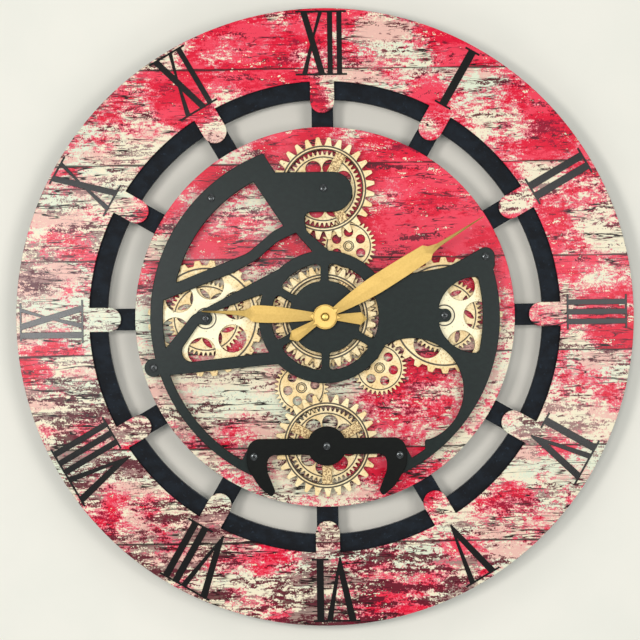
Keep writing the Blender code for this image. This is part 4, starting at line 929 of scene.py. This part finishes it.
def addNumerals():
    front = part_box("dial_ring")[0].y
    names = ("I", "II", "III", "IV", "V", "VI", "VII", "VIII", "IX", "X", "XI", "XII")
    for hour, letters in enumerate(names):
        strokes, width = strokesOf(letters, hour)
        angle = math.radians(30.0 * (hour + 1))
        reading = np.array([math.cos(angle), -math.sin(angle)])
        outwards = np.array([math.sin(angle), math.cos(angle)])
        start = numeral["nudge"][hour] * mm - width / 2.0
        loops = [eased(straightened(loop), numeral["fillet"], numeral["sharp"]) for loop in joined(strokes)]
        loops = [reading * (loop[:, :1] + start) + outwards * (loop[:, 1:] + numeral["foot"])
                 for loop in loops]
        points, walls, _, face, back = sheetMesh(loops, front - numeral["raised"], front - numeral["gap"],
                                                 numeral["edge"], numeral["backEdge"])
        addPiece(f"numeral{hour + 1}", points, [(walls, 0, True), (face, 0, False), (back, 0, False)],
                 [numeralBlack], body="frame")


addNumerals()
print("numerals made")


# Hands

hand = {
    "hub": {"hour_hand": 12.2 * mm, "minute_hand": 11.1 * mm},
    # The hub's flat top stops this far inside its rim; the thin edge, its bevel and the boss behind the hub
    "hubInset": 0.4 * mm, "hubPoints": 72, "edge": 0.25 * mm, "bevel": 0.08 * mm, "boss": 0.8 * mm,
    "fillet": 0.3 * mm, "holeFillet": 0.1 * mm, "sharp": 60.0,
    # The ridge ends this far from the tips; the tail's has every fourth of the points; turns past the crease
    # angle, in degrees, show as edges
    "ridgeEnd": 1.0 * mm, "ridgePoints": 40, "tailEvery": 4, "crease": 4.0,
}


def addHand(node):
    # The outline rises from a thin edge to a ridge down the middle and a flat hub; a boss stands behind it
    low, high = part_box(node)
    loops = silhouette(node)
    outer = eased(loops[0], hand["fillet"], hand["sharp"])
    hole = eased(loops[1], hand["holeFillet"], hand["sharp"])
    reach = np.linalg.norm(outer, axis=1)
    tip = outer[reach.argmax()]
    along = tip / np.linalg.norm(tip)
    tail = outer[(outer @ along).argmin()]
    front, back = low.y, high.y - hand["boss"]
    shoulder = back - hand["edge"]
    bevel = hand["bevel"]
    inner = outer - outward(outer) * bevel
    hub = hand["hub"][node]
    flat = circle(hub - hand["hubInset"], hand["hubPoints"])
    steps = np.linspace(0.0, 1.0, hand["ridgePoints"])[:, None]
    ahead = along * (hub + (reach.max() - hub - hand["ridgeEnd"]) * steps)
    behind = -along * (hub + (np.linalg.norm(tail) - hub - hand["ridgeEnd"]) * steps[::hand["tailEvery"]])
    groups = [inner, hole, flat, ahead, behind]
    starts = np.cumsum([0] + [len(group) for group in groups])
    innerIds, holeIds, flatIds, aheadIds, behindIds = [
        np.arange(a, b) for a, b in zip(starts[:-1], starts[1:])]
    rims = [np.stack([ids, np.roll(ids, -1)], axis=1) for ids in (holeIds, flatIds)]
    ridges = [np.stack([ids[:-1], ids[1:]], axis=1) for ids in (aheadIds, behindIds)]
    flatPoints = np.concatenate(groups)
    corners, _, made, origin, _, cover = delaunay_2d_cdt(
        [Vector(p) for p in flatPoints.tolist()], np.concatenate(rims + ridges).tolist(),
        [innerIds.tolist(), holeIds.tolist()[::-1]], insideOnly, 1e-8)
    corner = np.array([tuple(p) for p in corners])
    kept = [face for face, owners in zip(made, cover) if 0 in owners and 1 not in owners]
    triangles = turnedAlike(corner, np.array(kept))
    height = np.where(np.arange(len(flatPoints)) < len(inner), shoulder, front)
    source = np.array([given[0] for given in origin])
    surface = np.stack([corner[:, 0], height[source], corner[:, 1]], axis=1)
    whereIs = np.empty(len(flatPoints), int)
    whereIs[source] = np.arange(len(source))
    bossLoop = circle(np.linalg.norm(outlines(node, back=True)[0], axis=1).max(), len(hole))

    def level(loop, depth):
        return np.stack([loop[:, 0], np.full(len(loop), depth), loop[:, 1]], axis=1)

    rings = [level(outer, shoulder + bevel), level(outer, back - bevel), level(inner, back),
             level(bossLoop, back), level(bossLoop, high.y), level(hole, high.y)]
    places = np.cumsum([len(surface)] + [len(ring) for ring in rings])
    ids = [np.arange(a, b) for a, b in zip(places[:-1], places[1:])]
    points = np.concatenate([surface] + rings)
    walls = [np.stack([upper, lower, np.roll(lower, -1), np.roll(upper, -1)], axis=1)
             for upper, lower in ((whereIs[innerIds], ids[0]), (ids[0], ids[1]), (ids[1], ids[2]),
                                  (ids[3], ids[4]), (whereIs[holeIds], ids[5]))]
    rear = []
    for around, within in ((ids[2], ids[3][::-1]), (ids[4], ids[5])):
        cap = filled([points[around][:, [0, 2]], points[within][:, [0, 2]]])
        rear.append(np.concatenate([around, within])[cap][:, ::-1])
    faceSets = [(triangles, 0, True), (np.concatenate(walls), 0, True), (np.concatenate(rear), 0, False)]
    piece = addPiece(pieceName(node), points, faceSets, [handGold], node)
    piece.data.set_sharp_from_angle(angle=math.radians(hand["crease"]))


for node in hand["hub"]:
    addHand(node)
print("hands made")


# Screws, posts and the rear

screw = {
    "headHeight": 2.2 * mm, "shank": 2.0 * mm, "sides": 64,
    # The dome takes this share of the head's height, in so many rings
    "domed": 0.4, "rings": 25,
    # Crossed slots: depth, half their width and reach, and how softly their sides and ends go down
    "recess": 0.5 * mm, "slotWidth": 0.3 * mm, "slotReach": 1.8 * mm, "slotSide": 0.45 * mm,
    "slotEnd": 0.5 * mm,
}
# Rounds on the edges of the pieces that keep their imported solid
rounded = {
    "steel": 0.25 * mm, "brass": 0.2 * mm, "standoff": 0.3 * mm, "ring": 0.6 * mm, "case": 0.5 * mm,
    "switch": 0.3 * mm, "cell": 0.4 * mm,
}
pinRing = (3.0 * mm, 0.6 * mm)      # radius and width of the line round a pin's end


def addScrew(node, material):
    # A low dome of revolution; two crossed slots sink where a point is near an axis and inside their reach
    low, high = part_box(node)
    centre = middleOf(node)
    radius = (high.x - low.x) / 2.0
    under = low.y + screw["headHeight"]
    share = np.sin(np.linspace(0.0, 0.5 * math.pi, screw["rings"] + 1))[1:]
    sunk = screw["domed"] * screw["headHeight"] * (1.0 - np.sqrt(np.maximum(1.0 - share ** 2, 0.0)))
    profile = np.concatenate([[[0.0, low.y]], np.stack([radius * share, low.y + sunk], axis=1),
                              [[radius, under], [screw["shank"], under], [screw["shank"], high.y],
                               [0.0, high.y]]])
    points, quads, fans = turnedMesh(profile, centre, screw["sides"])
    u = np.abs(points[:, 0] - centre[0])
    v = np.abs(points[:, 2] - centre[1])
    near = np.clip((screw["slotWidth"] - np.minimum(u, v)) / screw["slotSide"] + 0.5, 0.0, 1.0)
    inside = np.clip((screw["slotReach"] - np.maximum(u, v)) / screw["slotEnd"], 0.0, 1.0)
    isDome = points[:, 1] < (low.y + under) / 2.0
    points[:, 1] += np.where(isDome, screw["recess"] * near * inside, 0.0)
    addPiece(pieceName(node), points, [(quads, 0, True), (fans, 0, True)], [material], node)


def addFasteners():
    for node in frame["nodes"]:
        if node.startswith("screw_"):
            addScrew(node, darkSteel)
    for node in ("hanger_screw_left", "hanger_screw_right", "hanger_plate", "bush_nut", "centre_post",
                 "gear_post_top", "gear_post_bottom", "gear_post_left", "gear_post_right"):
        addSoftened(node, steel, rounded["steel"])
    for node in ("mounting_bush", "hour_pipe", "minute_arbor", "hand_nut"):
        addSoftened(node, brass, rounded["brass"])
    for node in ("idler_pin_upper", "idler_pin_lower", "drive_shaft"):
        paintOn = gearPaint(pieceName(node) + "Paint", middleOf(node), [pinRing])
        addSoftened(node, paintOn, rounded["brass"])
    for node in frame["nodes"]:
        if node.startswith("standoff_"):
            addSoftened(node, blackPlastic, rounded["standoff"])


def addRear():
    addSoftened("rear_ring", backBoard, rounded["ring"])
    for node in ("movement_case", "drive_case", "set_knob"):
        addSoftened(node, blackPlastic, rounded["case"])
    addSoftened("power_switch", steel, rounded["switch"])
    for node in ("movement_cell", "drive_cell"):
        addSoftened(node, wrapper, rounded["cell"])


addFasteners()
addRear()
print("fasteners and rear pieces made")
